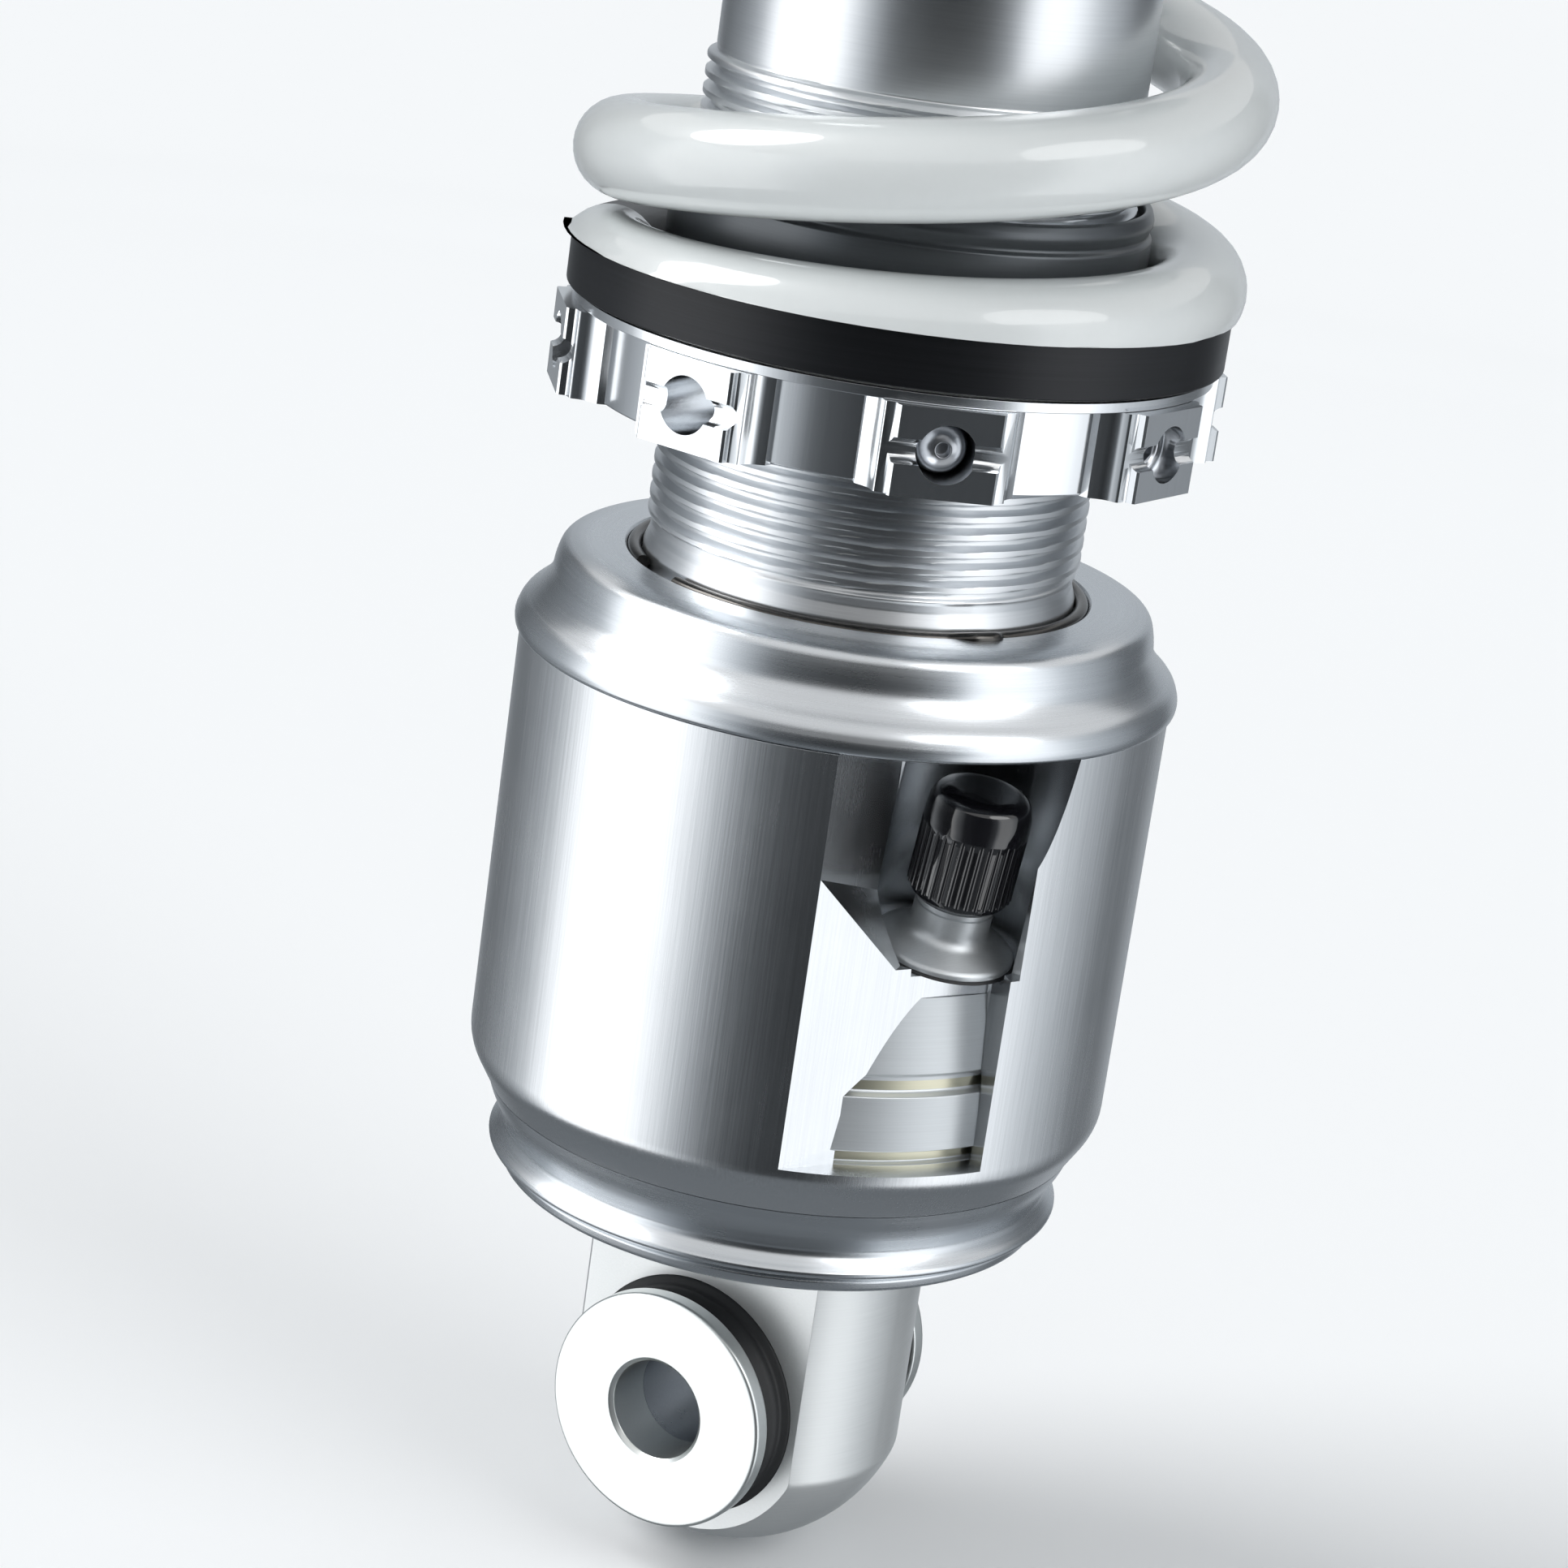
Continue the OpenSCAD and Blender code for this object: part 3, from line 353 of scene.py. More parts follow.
def smooth(obj: bpy.types.Object, angle: float = 34.0) -> None:
    """Shade the faces smooth, with a crease wherever they meet at more than an angle."""
    mesh = obj.data
    mesh.polygons.foreach_set("use_smooth", [True] * len(mesh.polygons))
    mesh.set_sharp_from_angle(angle=math.radians(angle))
    step = obj.modifiers.new("shading", "WEIGHTED_NORMAL")
    step.keep_sharp = True
    step.weight = 60
    bake_modifiers(obj)


def bolt_place(height: float, side: Side = Side.LEFT) -> Matrix:
    """Matrix that lays a turned piece along the eye bolt, its +Z out on the given side."""
    turn = Matrix.Rotation(math.radians(90 if side is Side.LEFT else -90), 4, "X")
    return Matrix.Translation((0, 0, height)) @ turn


def fuse(name: str, pieces: list[bpy.types.Object]) -> bpy.types.Object:
    """Put several pieces into one mesh, each still a closed shell of its own."""
    work = bmesh.new()
    for piece in pieces:
        work.from_mesh(piece.data)
        mesh = piece.data
        bpy.data.objects.remove(piece)
        bpy.data.meshes.remove(mesh)
    made = bpy.data.meshes.new(name)
    work.to_mesh(made)
    work.free()
    return new_object(name, made)


# finishes


class Wiring:
    """Short hand for building a node tree, in a material or in a group."""

    def __init__(self, tree: bpy.types.NodeTree) -> None:
        """Keep the tree that nodes are added to."""
        self.tree = tree

    def node(self, kind: str, **values: object) -> bpy.types.Node:
        """Add a node and set its properties."""
        made = self.tree.nodes.new(kind)
        for key, value in values.items():
            setattr(made, key, value)
        return made

    def plug(self, source: object, target: bpy.types.NodeSocket) -> None:
        """Link a socket, or write a number, into a target socket."""
        if isinstance(source, bpy.types.NodeSocket):
            self.tree.links.new(source, target)
        else:
            target.default_value = source

    def math(self, operation: str, *inputs: object) -> bpy.types.NodeSocket:
        """Add a Math node and return its output."""
        made = self.node("ShaderNodeMath", operation=operation)
        for index, value in enumerate(inputs):
            self.plug(value, made.inputs[index])
        return made.outputs[0]

    def combine(self, x: object, y: object, z: object) -> bpy.types.NodeSocket:
        """Join three numbers into a vector."""
        made = self.node("ShaderNodeCombineXYZ")
        for index, value in enumerate((x, y, z)):
            self.plug(value, made.inputs[index])
        return made.outputs[0]

    def noise(self, vector: object, scale: object, detail: float, rough: float = 0.5) -> bpy.types.NodeSocket:
        """Add a noise texture and return its value."""
        made = self.node("ShaderNodeTexNoise")
        self.plug(vector, made.inputs["Vector"])
        self.plug(scale, made.inputs["Scale"])
        made.inputs["Detail"].default_value = detail
        made.inputs["Roughness"].default_value = rough
        return made.outputs["Fac"]

    def mix(self, share: object, first: object, second: object) -> bpy.types.NodeSocket:
        """Mix two colours and return the result."""
        made = self.node("ShaderNodeMix", data_type="RGBA")
        self.plug(share, made.inputs[0])
        self.plug(first, made.inputs[6])
        self.plug(second, made.inputs[7])
        return made.outputs[2]


class EffectGroups:
    """Shader groups that several finishes share, each built once when it is first asked for."""

    def __init__(self) -> None:
        """Start with no group built."""
        self.made: dict[str, bpy.types.NodeTree] = {}

    def _start(self, name: str, inputs: dict[str, float]) -> tuple[Wiring, bpy.types.Node, bpy.types.Node]:
        """Open a new group with float inputs and one float output named Value."""
        tree = bpy.data.node_groups.new(name, "ShaderNodeTree")
        for label, value in inputs.items():
            socket = tree.interface.new_socket(name=label, in_out="INPUT", socket_type="NodeSocketFloat")
            socket.default_value = value
        tree.interface.new_socket(name="Value", in_out="OUTPUT", socket_type="NodeSocketFloat")
        wires = Wiring(tree)
        self.made[name] = tree
        return wires, wires.node("NodeGroupInput"), wires.node("NodeGroupOutput")

    def lines(self, grain: Grain) -> bpy.types.NodeTree:
        """Tool marks that run round the axis, along it, or nowhere in particular.

        Args:
            grain: direction of the marks.

        Returns:
            A group with the input Spacing and the output Value.
        """
        if grain.value in self.made:
            return self.made[grain.value]
        wires, given, out = self._start(grain.value, {"Spacing": 0.0003})
        place = wires.node("ShaderNodeTexCoord").outputs["Object"]
        split = wires.node("ShaderNodeSeparateXYZ")
        wires.plug(place, split.inputs[0])
        x, y, z = split.outputs
        spacing = given.outputs["Spacing"]
        radius = wires.math("SQRT", wires.math("ADD", wires.math("MULTIPLY", x, x),
                                               wires.math("MULTIPLY", y, y)))
        turn = wires.math("MULTIPLY", wires.math("ARCTAN2", y, x), 0.035)
        across = wires.math("DIVIDE", 1.0, spacing)
        along = wires.math("MULTIPLY", across, 0.012)
        if grain is Grain.TURNED:
            vector = wires.combine(wires.math("MULTIPLY", radius, across),
                                   wires.math("MULTIPLY", z, across),
                                   wires.math("MULTIPLY", turn, along))
        elif grain is Grain.BRUSHED:
            vector = wires.combine(wires.math("MULTIPLY", turn, across),
                                   wires.math("MULTIPLY", z, along),
                                   wires.math("MULTIPLY", radius, across))
        else:
            vector = wires.combine(wires.math("MULTIPLY", x, across),
                                   wires.math("MULTIPLY", y, across),
                                   wires.math("MULTIPLY", z, across))
        wires.plug(wires.noise(vector, 1.0, 3.0, 0.6), out.inputs["Value"])
        return self.made[grain.value]

    def handling(self) -> bpy.types.NodeTree:
        """Faint cloudy wear from cleaning and handling, between 0 and 1."""
        if "handling_wear" in self.made:
            return self.made["handling_wear"]
        wires, given, out = self._start("handling_wear", {"Patch Size": 0.02})
        place = wires.node("ShaderNodeTexCoord").outputs["Object"]
        scale = wires.math("DIVIDE", 1.0, given.outputs["Patch Size"])
        wires.plug(wires.noise(place, scale, 5.0, 0.62), out.inputs["Value"])
        return self.made["handling_wear"]

    def place(self, wires: Wiring, tree: bpy.types.NodeTree, **values: float) -> bpy.types.NodeSocket:
        """Put a group into a material and return its output."""
        made = wires.node("ShaderNodeGroup")
        made.node_tree = tree
        for label, value in values.items():
            made.inputs[label.replace("_", " ")].default_value = value
        return made.outputs["Value"]


EFFECTS = EffectGroups()


@dataclass(frozen=True)
class Finish:
    """A surface finish.

    Attributes:
        slot: the record's material slot that the finish stands for.
        title: name of its own, where one slot has several finishes.
        colour: main colour.
        roughness: mean roughness.
        metal: 1 for bare metal, 0 for paint, rubber and plastic.
        grain: direction of the tool marks.
        spacing: distance between tool marks, in millimetres.
        depth: height of the tool marks, in millimetres.
        streak: how far the marks change the colour, as a share.
        vary: how far handling changes the roughness.
        stretch: how far a highlight is drawn out across the marks.
        coat: strength of a clear top coat.
    """

    slot: str
    colour: Colour
    roughness: float
    metal: float = 1.0
    grain: Grain = Grain.TURNED
    spacing: float = 0.3
    depth: float = 0.004
    streak: float = 0.10
    vary: float = 0.10
    stretch: float = 0.0
    coat: float = 0.0
    title: str = ""

    @property
    def name(self) -> str:
        """Name of the material."""
        return self.title or self.slot

    def build(self) -> bpy.types.Material:
        """Make the material."""
        material = bpy.data.materials.new(self.name)
        material.use_nodes = True
        wires = Wiring(material.node_tree)
        shader = material.node_tree.nodes["Principled BSDF"]
        marks = EFFECTS.place(wires, EFFECTS.lines(self.grain), Spacing=self.spacing * MM)
        wear = EFFECTS.place(wires, EFFECTS.handling(), Patch_Size=18 * MM)
        dark = tuple(c * (1 - self.streak) for c in self.colour) + (1.0,)
        light = tuple(min(1.0, c * (1 + self.streak * 0.5)) for c in self.colour) + (1.0,)
        wires.plug(wires.mix(marks, dark, light), shader.inputs["Base Color"])
        rough = wires.math("ADD", wires.math("MULTIPLY", wires.math("SUBTRACT", wear, 0.5), self.vary),
                           wires.math("ADD", wires.math("MULTIPLY", marks, self.vary * 0.5),
                                      self.roughness - self.vary * 0.25))
        wires.plug(rough, shader.inputs["Roughness"])
        shader.inputs["Metallic"].default_value = self.metal
        if self.depth > 0:
            bump = wires.node("ShaderNodeBump")
            bump.inputs["Strength"].default_value = 1.0
            bump.inputs["Distance"].default_value = self.depth * MM
            wires.plug(marks, bump.inputs["Height"])
            wires.plug(bump.outputs["Normal"], shader.inputs["Normal"])
        if self.stretch > 0:
            shader.inputs["Anisotropic"].default_value = self.stretch
            turn = 0.0 if self.grain is Grain.BRUSHED else 0.25
            shader.inputs["Anisotropic Rotation"].default_value = turn
            tangent = wires.node("ShaderNodeTangent", direction_type="RADIAL", axis="Z")
            wires.plug(tangent.outputs[0], shader.inputs["Tangent"])
        if self.coat > 0:
            shader.inputs["Coat Weight"].default_value = self.coat
            shader.inputs["Coat Roughness"].default_value = 0.03
        return material


class Workshop:
    """Hands out finishes by slot name and dresses pieces with them."""

    FINISHES: tuple[Finish, ...] = (
        Finish("turned_aluminium", (0.72, 0.75, 0.78), 0.27, spacing=0.28, depth=0.003, stretch=0.5),
        Finish("brushed_aluminium", (0.80, 0.82, 0.84), 0.26, grain=Grain.BRUSHED, spacing=0.22,
               depth=0.006, streak=0.16, stretch=0.6),
        Finish("threaded_aluminium", (0.78, 0.80, 0.82), 0.30, spacing=0.25, depth=0.003, stretch=0.4),
        Finish("machined_collar", (0.84, 0.86, 0.88), 0.18, grain=Grain.BRUSHED, spacing=0.5,
               depth=0.002, streak=0.06, vary=0.05),
        Finish("black_anodised", (0.012, 0.013, 0.016), 0.34, metal=0.4, spacing=0.35, depth=0.005,
               streak=0.5, vary=0.12),
        Finish("gold_anodised", (0.72, 0.50, 0.16), 0.30, spacing=0.3),
        Finish("spring_wire", (0.10, 0.095, 0.09), 0.20, grain=Grain.BLASTED, spacing=0.8, depth=0.01,
               streak=0.35),
        Finish("satin_steel", (0.58, 0.60, 0.63), 0.28, spacing=0.3, depth=0.003),
        Finish("zinc_steel", (0.84, 0.87, 0.86), 0.34, metal=0.95, grain=Grain.BLASTED, spacing=0.35,
               depth=0.006, streak=0.05),
        Finish("hard_chrome", (0.82, 0.83, 0.85), 0.08, spacing=0.2, depth=0.0005, streak=0.02, vary=0.04),
        Finish("spring_paint", (0.74, 0.77, 0.77), 0.30, metal=0.0, grain=Grain.BLASTED, spacing=1.6,
               depth=0.003, streak=0.02, vary=0.04, coat=1.0),
        Finish("valve_brass", (0.71, 0.56, 0.28), 0.26, spacing=0.2),
        Finish("bearing_bronze", (0.55, 0.40, 0.22), 0.35),
        Finish("black_rubber", (0.018, 0.019, 0.021), 0.55, metal=0.0, grain=Grain.BLASTED,
               spacing=0.4, depth=0.01, streak=0.3),
        Finish("black_plastic", (0.006, 0.006, 0.008), 0.12, metal=0.0, grain=Grain.BLASTED,
               spacing=0.9, depth=0.003, streak=0.1, vary=0.08, coat=1.0),
        Finish("guide_plastic", (0.13, 0.14, 0.15), 0.30, metal=0.7, spacing=0.3, depth=0.003),
        Finish("slide_band", (0.30, 0.18, 0.10), 0.6, metal=0.0, grain=Grain.BLASTED, spacing=0.5),
        Finish("white_nylon", (0.82, 0.82, 0.80), 0.5, metal=0.0, grain=Grain.BLASTED, spacing=0.5),
        Finish("turned_aluminium", (0.62, 0.60, 0.47), 0.34, spacing=0.15, depth=0.002, stretch=0.4,
               title="groove_aluminium"),
        Finish("turned_aluminium", (0.66, 0.69, 0.71), 0.42, spacing=0.2, depth=0.004, streak=0.10,
               metal=0.75, title="valve_aluminium"),
        Finish("turned_aluminium", (0.80, 0.82, 0.82), 0.40, spacing=0.2, depth=0.004, streak=0.08,
               metal=0.8, title="eye_aluminium"),
        Finish("bump_foam", (0.62, 0.50, 0.22), 0.8, metal=0.0, grain=Grain.BLASTED, spacing=0.9,
               depth=0.08, streak=0.25),
    )

    def __init__(self, frame: dict) -> None:
        """Keep the frame and build every finish once."""
        self.frame = frame
        self.made = {finish.name: finish.build() for finish in self.FINISHES}
        self.slots = {finish.name: finish.slot for finish in self.FINISHES}

    def dress(self, obj: bpy.types.Object, finish: str, body: str, *nodes: str, angle: float = 34.0) -> None:
        """Finish a piece, seat it on its body and let it stand for its nodes.

        Args:
            obj: the piece, in the part's frame.
            finish: name of its finish.
            body: body that it moves with.
            nodes: nodes that it is shown in place of.
            angle: crease angle of its shading.
        """
        obj.data.materials.clear()
        obj.data.materials.append(self.made[finish])
        smooth(obj, angle)
        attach(obj, body)
        if nodes:
            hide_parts(*nodes)
        LOG.info("%s: %d faces, %s on %s", obj.name, len(obj.data.polygons), finish, body)

    def turn(self, name: str, corners: Outline, finish: str, body: str, *nodes: str,
             place: Matrix | None = None, segments: int = 128, angle: float = 34.0, steps: int = 5) -> None:
        """Turn an outline on the lathe and dress the piece.

        Args:
            name: name of the piece.
            corners: its outline.
            finish: name of its finish.
            body: body that it moves with.
            nodes: nodes that it is shown in place of.
            place: matrix to the part's frame, in millimetres.
            segments: number of steps round the axis.
            angle: crease angle of its shading.
            steps: number of straight pieces in one rounding.
        """
        self.dress(turned(name, soften(corners, steps), place, segments), finish, body, *nodes, angle=angle)

    def dress_nodes(self) -> None:
        """Give every node that is still shown the finish of its slot."""
        for entry in self.frame["record"]["subparts"]:
            node = self.frame["nodes"][entry["node"]]
            node.data.materials.clear()
            node.data.materials.append(self.made[entry["material_slot"]])


# canister


@dataclass
class EyeBlock:
    """The forked-off eye of either end: a round stem with two flats and a rounded end."""

    stem_r: float = 20.0
    flats: float = 25.0
    end_r: float = 21.0
    bearing_r: float = 11.0
    seal_r: float = 14.7
    seal_depth: float = 2.4
    edge: float = 0.7

    def build(self, name: str, foot: float) -> bpy.types.Object:
        """Build the eye round the origin, its stem running up to a height."""
        turn = math.acos(self.stem_r / self.end_r)
        arc = [(self.end_r * math.sin(a), -self.end_r * math.cos(a))
               for a in ((math.pi / 2 - turn) * k / 24 for k in range(25))]
        outline = [*arc[:-1], (self.stem_r, arc[-1][1], 3.0), (self.stem_r, foot), (0, foot)]
        block = turned(name, soften(outline), segments=192)
        half = self.flats / 2
        carve(block, [slab("flats", -60, 60, reach=60, half=half)], "INTERSECT")
        break_edges(block, self.edge, 40, 3)
        carve(block, [drum("bore", self.bearing_r, -60, 60, bolt_place(0))])
        seat = half - self.seal_depth
        carve(block, [drum("seat", self.seal_r, seat, 60, bolt_place(0, side)) for side in Side])
        return block


@dataclass
class CanisterCup:
    """Underside and stepped inner cup of the canister, in one piece with its eye."""

    eye: EyeBlock = field(default_factory=EyeBlock)
    bead_r: float = 34.1
    waist_r: float = 32.4
    waist_top_r: float = 35.1
    plug_r: float = 34.4
    neck_r: float = 32.2
    chamber_r: float = 27.0
    floor: float = 7.0
    plug_skin: float = 3.0
    groove: float = 0.9
    segments: int = 224

    def outline(self) -> Outline:
        """Outline of the turned underside, up to the seam with the housing."""
        z0, zb, zw = STACK.canister, STACK.bead, STACK.waist
        r, inner, top = self.bead_r, self.plug_r - self.plug_skin, STACK.plug_top - self.plug_skin
        return [(0, z0), (r - 2.9, z0, 0.4), (r - 1.75, z0 + 0.35, 0.5), (r - 1.45, zb - 1.5, 0.2),
                (r - 1.75, zb - 1.25, 0.1), (r - 1.6, zb - 0.85, 0.2), (r - 0.15, zb - 0.5, 0.25),
                (r + 0.02, zb + 0.1, 0.3), (r - 0.9, zb + 0.9, 0.9), (self.waist_r + 0.1, zb + 1.9, 1.4),
                (self.waist_r + 0.6, zb + 3.2, 1.6), (self.waist_top_r - 0.6, zw - 1.6, 1.0),
                (self.waist_top_r, zw), (inner, zw), (inner, top), (self.chamber_r, top),
                (self.chamber_r, z0 + self.floor + 3, 3), (self.chamber_r - 3, z0 + self.floor, 1),
                (0, z0 + self.floor)]

    def plug_outline(self) -> Outline:
        """Outline of the turned wall that shows in the housing's pocket, with its two grooves."""
        p, g, gap = self.plug_r, self.groove, 0.02
        foot, inner = STACK.waist + gap, p - self.plug_skin - gap
        inner_top = STACK.plug_top - self.plug_skin + 0.05
        lip, wall, ring = STACK.channel_floor, STACK.plug_wall, STACK.plug_ring
        neck, top = STACK.plug_neck, STACK.plug_top
        return [(inner, foot), (p, foot), (p, lip, 0.25), (p - g, lip + 0.1, 0.3), (p - g, wall - 0.2, 0.3),
                (p + 0.3, wall, 0.15), (p - 0.1, ring, 0.15), (p - 1.2, ring + 0.3, 0.4),
                (p - 1.3, neck - 0.3, 0.4), (p - 0.9, neck, 0.15), (self.neck_r, top),
                (self.chamber_r, top), (self.chamber_r, inner_top), (inner, inner_top)]

    def build(self, shop: Workshop) -> None:
        """Build the cup, its plug and its eye and dress them."""
        shop.turn("canister_cup_skin", self.outline(), "turned_aluminium", "damper", "canister_cup",
                  segments=self.segments)
        shop.turn("canister_cup_plug", self.plug_outline(), "valve_aluminium", "damper",
                  segments=self.segments)
        eye = self.eye.build("canister_eye_block", STACK.canister + 1)
        shop.dress(eye, "eye_aluminium", "damper")
        self.build_grooves(shop)

    def build_grooves(self, shop: Workshop) -> None:
        """Lay a thin tan skin on the floor of each groove in the plug."""
        p, g, lip, ring = self.plug_r, self.groove, STACK.channel_floor, STACK.plug_ring
        low = [(p - g - 0.5, lip + 0.2), (p - g + 0.02, lip + 0.2), (p - g + 0.02, lip + 1.4),
               (p - g - 0.5, lip + 1.4)]
        high = [(p - 1.8, ring + 0.3), (p - 1.18, ring + 0.4), (p - 1.28, ring + 1.7),
                (p - 1.8, ring + 1.7)]
        rings = [turned("groove", soften(part), segments=self.segments) for part in (low, high)]
        shop.dress(fuse("canister_cup_grooves", rings), "groove_aluminium", "damper")


@dataclass
class CanisterHousing:
    """Brushed outer sleeve of the canister with the milled pocket round the gas valve."""

    outer_r: float = 37.7
    foot_r: float = 35.1
    bevel: float = 4.4
    neck_r: float = 22.9
    neck_h: float = 9.6
    passage_r: float = 16.0
    cup: CanisterCup = field(default_factory=CanisterCup)
    edge: Point = (19.1, -32.5)
    face_turn: float = 62.6
    face_width: float = 24.3
    ramp_z: float = 75.2
    ramp_slope: tuple[float, float, float] = (1.4, 0.37, 1)
    spot_r: float = 9.3
    deburr: float = 0.22

    def outline(self) -> list[Point]:
        """Outline of the turned sleeve with its neck inside the damper tube."""
        gap, foot, top = 0.04, STACK.waist, STACK.housing_top
        p, neck_top, roof = self.cup.plug_r + gap, top + self.neck_h, STACK.plug_top + gap
        corners = [(p, foot + gap), (self.foot_r, foot + gap, 0.1), (self.outer_r, foot + self.bevel, 1.6),
                   (self.outer_r, top, 0.15), (self.neck_r, top), (self.neck_r, neck_top),
                   (self.passage_r, neck_top), (self.passage_r, roof), (self.cup.neck_r + gap, roof),
                   (p - 0.9, STACK.plug_neck), (p, STACK.plug_ring)]
        return soften(corners)

    def channel(self) -> list[Point]:
        """Plan of the channel below the valve, from the near edge along its flat face to the far wall."""
        turn = math.radians(self.face_turn)
        start, along = Vector(self.edge), Vector((math.cos(turn), math.sin(turn)))
        overrun, corner_step = 3.0, Vector((0.5, -0.1))
        end = start + along * self.face_width
        before = start - along * overrun
        return [polar(27, 46), (before.x, before.y), (start.x, start.y), (end.x, end.y),
                tuple(end + corner_step), polar(67.3, self.outer_r), polar(62, 46)]

    def build(self, shop: Workshop, valve: Matrix) -> None:
        """Build the sleeve, mill its pocket and dress it."""
        sleeve = turned("canister_housing_skin", self.outline(), segments=256)
        carve(sleeve, [prism("channel", self.channel(), STACK.channel_floor, STACK.channel_top)])
        face = drum("face", self.spot_r, 0, 60, valve, segments=128)
        carve(face, [slab("cap", 40, STACK.housing_top)], "INTERSECT")
        stem = drum("stem", 3.9, -2.6, 1, valve, segments=48)
        carve(sleeve, [self.pocket(), face, stem])
        break_edges(sleeve, self.deburr, 34, 2)
        shop.dress(sleeve, "brushed_aluminium", "damper", "canister_housing", angle=22)

    def pocket(self) -> bpy.types.Object:
        """Build the space above the channel that the valve's cap stands in, with its sloping ramp."""
        r, out = self.outer_r, self.outer_r + 8
        plan = [polar(30.3, out), polar(30.4, r), polar(47.5, 25), polar(76.5, 27.5), polar(69.2, r),
                polar(69.2, out)]
        upper = prism("upper", plan, 40, STACK.housing_top + 5)
        tilt = Vector(self.ramp_slope).to_track_quat("Z", "X").to_matrix().to_4x4()
        ramp = Matrix.Translation((*self.edge, self.ramp_z)) @ tilt
        carve(upper, [slab("ramp", 0, 120, ramp), slab("level", STACK.pocket_floor, STACK.housing_top)],
              "INTERSECT")
        return upper


@dataclass
class CanisterHead:
    """Rounded rim and shoulder that close the canister, and the wire ring in its recess."""

    rim_r: float = 38.5
    shoulder_r: float = 34.5
    recess_r: float = 26.7
    recess: float = 1.4
    bore_r: float = 25.04
    wire_r: float = 0.8

    def outline(self) -> Outline:
        """Outline of the turned head."""
        z0, z1 = STACK.housing_top + 0.04, STACK.head_top
        r, s = self.rim_r, self.shoulder_r
        return [(self.bore_r, z0), (r - 0.9, z0), (r - 0.2, z0 + 0.3, 0.3), (r, z0 + 1.3, 1.0),
                (r - 0.6, z0 + 3.0, 1.6), (s + 1.7, z0 + 4.4, 2.4), (s + 0.35, z0 + 6.2, 2.0),
                (s + 0.1, z1 - 2.6, 1.4), (s - 0.5, z1 - 0.7, 1.4), (s - 2.8, z1, 1.2),
                (self.recess_r + 0.3, z1, 0.1), (self.recess_r, z1 - 0.3, 0.1),
                (self.recess_r, z1 - self.recess), (self.bore_r, z1 - self.recess)]

    def ring_path(self) -> list[Vector]:
        """Centre line of the wire ring, with the step where its bent part rises over the recess."""
        middle = self.recess_r - self.wire_r - 0.04
        height = STACK.head_top - self.recess + self.wire_r + 0.1
        path = []
        for step in range(241):
            az = -21 + 341 * step / 240
            bulge = self._bump(az, 53.0, 60.0, 64.5, 68.0)
            x, y = polar(az, middle + 1.5 * bulge)
            path.append(Vector((x, y, height + 0.55 * bulge)) * MM)
        return path

    @staticmethod
    def _bump(at: float, rise: float, full: float, fall: float, end: float) -> float:
        """Smooth rise from 0 to 1 and back, given by four azimuths."""
        if at <= rise or at >= end:
            return 0.0
        share = (at - rise) / (full - rise) if at < full else 1.0 if at < fall else (end - at) / (end - fall)
        return share * share * (3 - 2 * share)

    def build(self, shop: Workshop) -> None:
        """Build the head and its wire ring and dress them."""
        shop.turn("canister_head_skin", self.outline(), "turned_aluminium", "damper", "canister_head",
                  segments=256, angle=50, steps=8)
        wire = PathTube("head_wire_ring_skin", self.ring_path(), self.wire_r * MM).build()
        shop.dress(wire, "spring_wire", "damper", "head_wire_ring", angle=50)


# Geometry Nodes


class GeometrySketch(Wiring):
    """A geometry tree with named inputs that is run once and turned into a plain mesh."""

    def __init__(self, name: str, inputs: dict[str, tuple[str, object]]) -> None:
        """Open the tree with its named inputs.

        Args:
            name: name of the tree.
            inputs: for each input, its socket type and value.
        """
        super().__init__(bpy.data.node_groups.new(name, "GeometryNodeTree"))
        self.values: dict[str, object] = {}
        self.tree.interface.new_socket(name="Geometry", in_out="INPUT", socket_type="NodeSocketGeometry")
        for label, (kind, value) in inputs.items():
            socket = self.tree.interface.new_socket(name=label, in_out="INPUT", socket_type=kind)
            self.values[socket.identifier] = value
        self.tree.interface.new_socket(name="Geometry", in_out="OUTPUT", socket_type="NodeSocketGeometry")
        self.given = self.node("NodeGroupInput")
        self.out = self.node("NodeGroupOutput")

    def close(self, geometry: bpy.types.NodeSocket) -> None:
        """End the tree in Realize Instances and Set Material."""
        real = self.node("GeometryNodeRealizeInstances")
        self.plug(geometry, real.inputs[0])
        paint = self.node("GeometryNodeSetMaterial")
        self.plug(real.outputs[0], paint.inputs["Geometry"])
        self.plug(self.given.outputs["Finish"], paint.inputs["Material"])
        self.plug(paint.outputs[0], self.out.inputs[0])

    def tube(self, line: bpy.types.NodeSocket) -> bpy.types.NodeSocket:
        """Sweep a circle of the inputs Wire Radius and Sides along a line, with closed ends."""
        ring = self.node("GeometryNodeCurvePrimitiveCircle")
        self.plug(self.given.outputs["Sides"], ring.inputs["Resolution"])
        self.plug(self.given.outputs["Wire Radius"], ring.inputs["Radius"])
        sweep = self.node("GeometryNodeCurveToMesh")
        self.plug(line, sweep.inputs["Curve"])
        self.plug(ring.outputs[0], sweep.inputs["Profile Curve"])
        sweep.inputs["Fill Caps"].default_value = True
        return sweep.outputs[0]

    def run(self, name: str, mesh: bpy.types.Mesh | None = None) -> bpy.types.Object:
        """Run the tree on a mesh and return the result as an object with a plain mesh."""
        obj = new_object(name, mesh or bpy.data.meshes.new(name))
        step = obj.modifiers.new("shape", "NODES")
        step.node_group = self.tree
        for identifier, value in self.values.items():
            step[identifier] = value
        obj.update_tag()
        bake_modifiers(obj)
        return obj


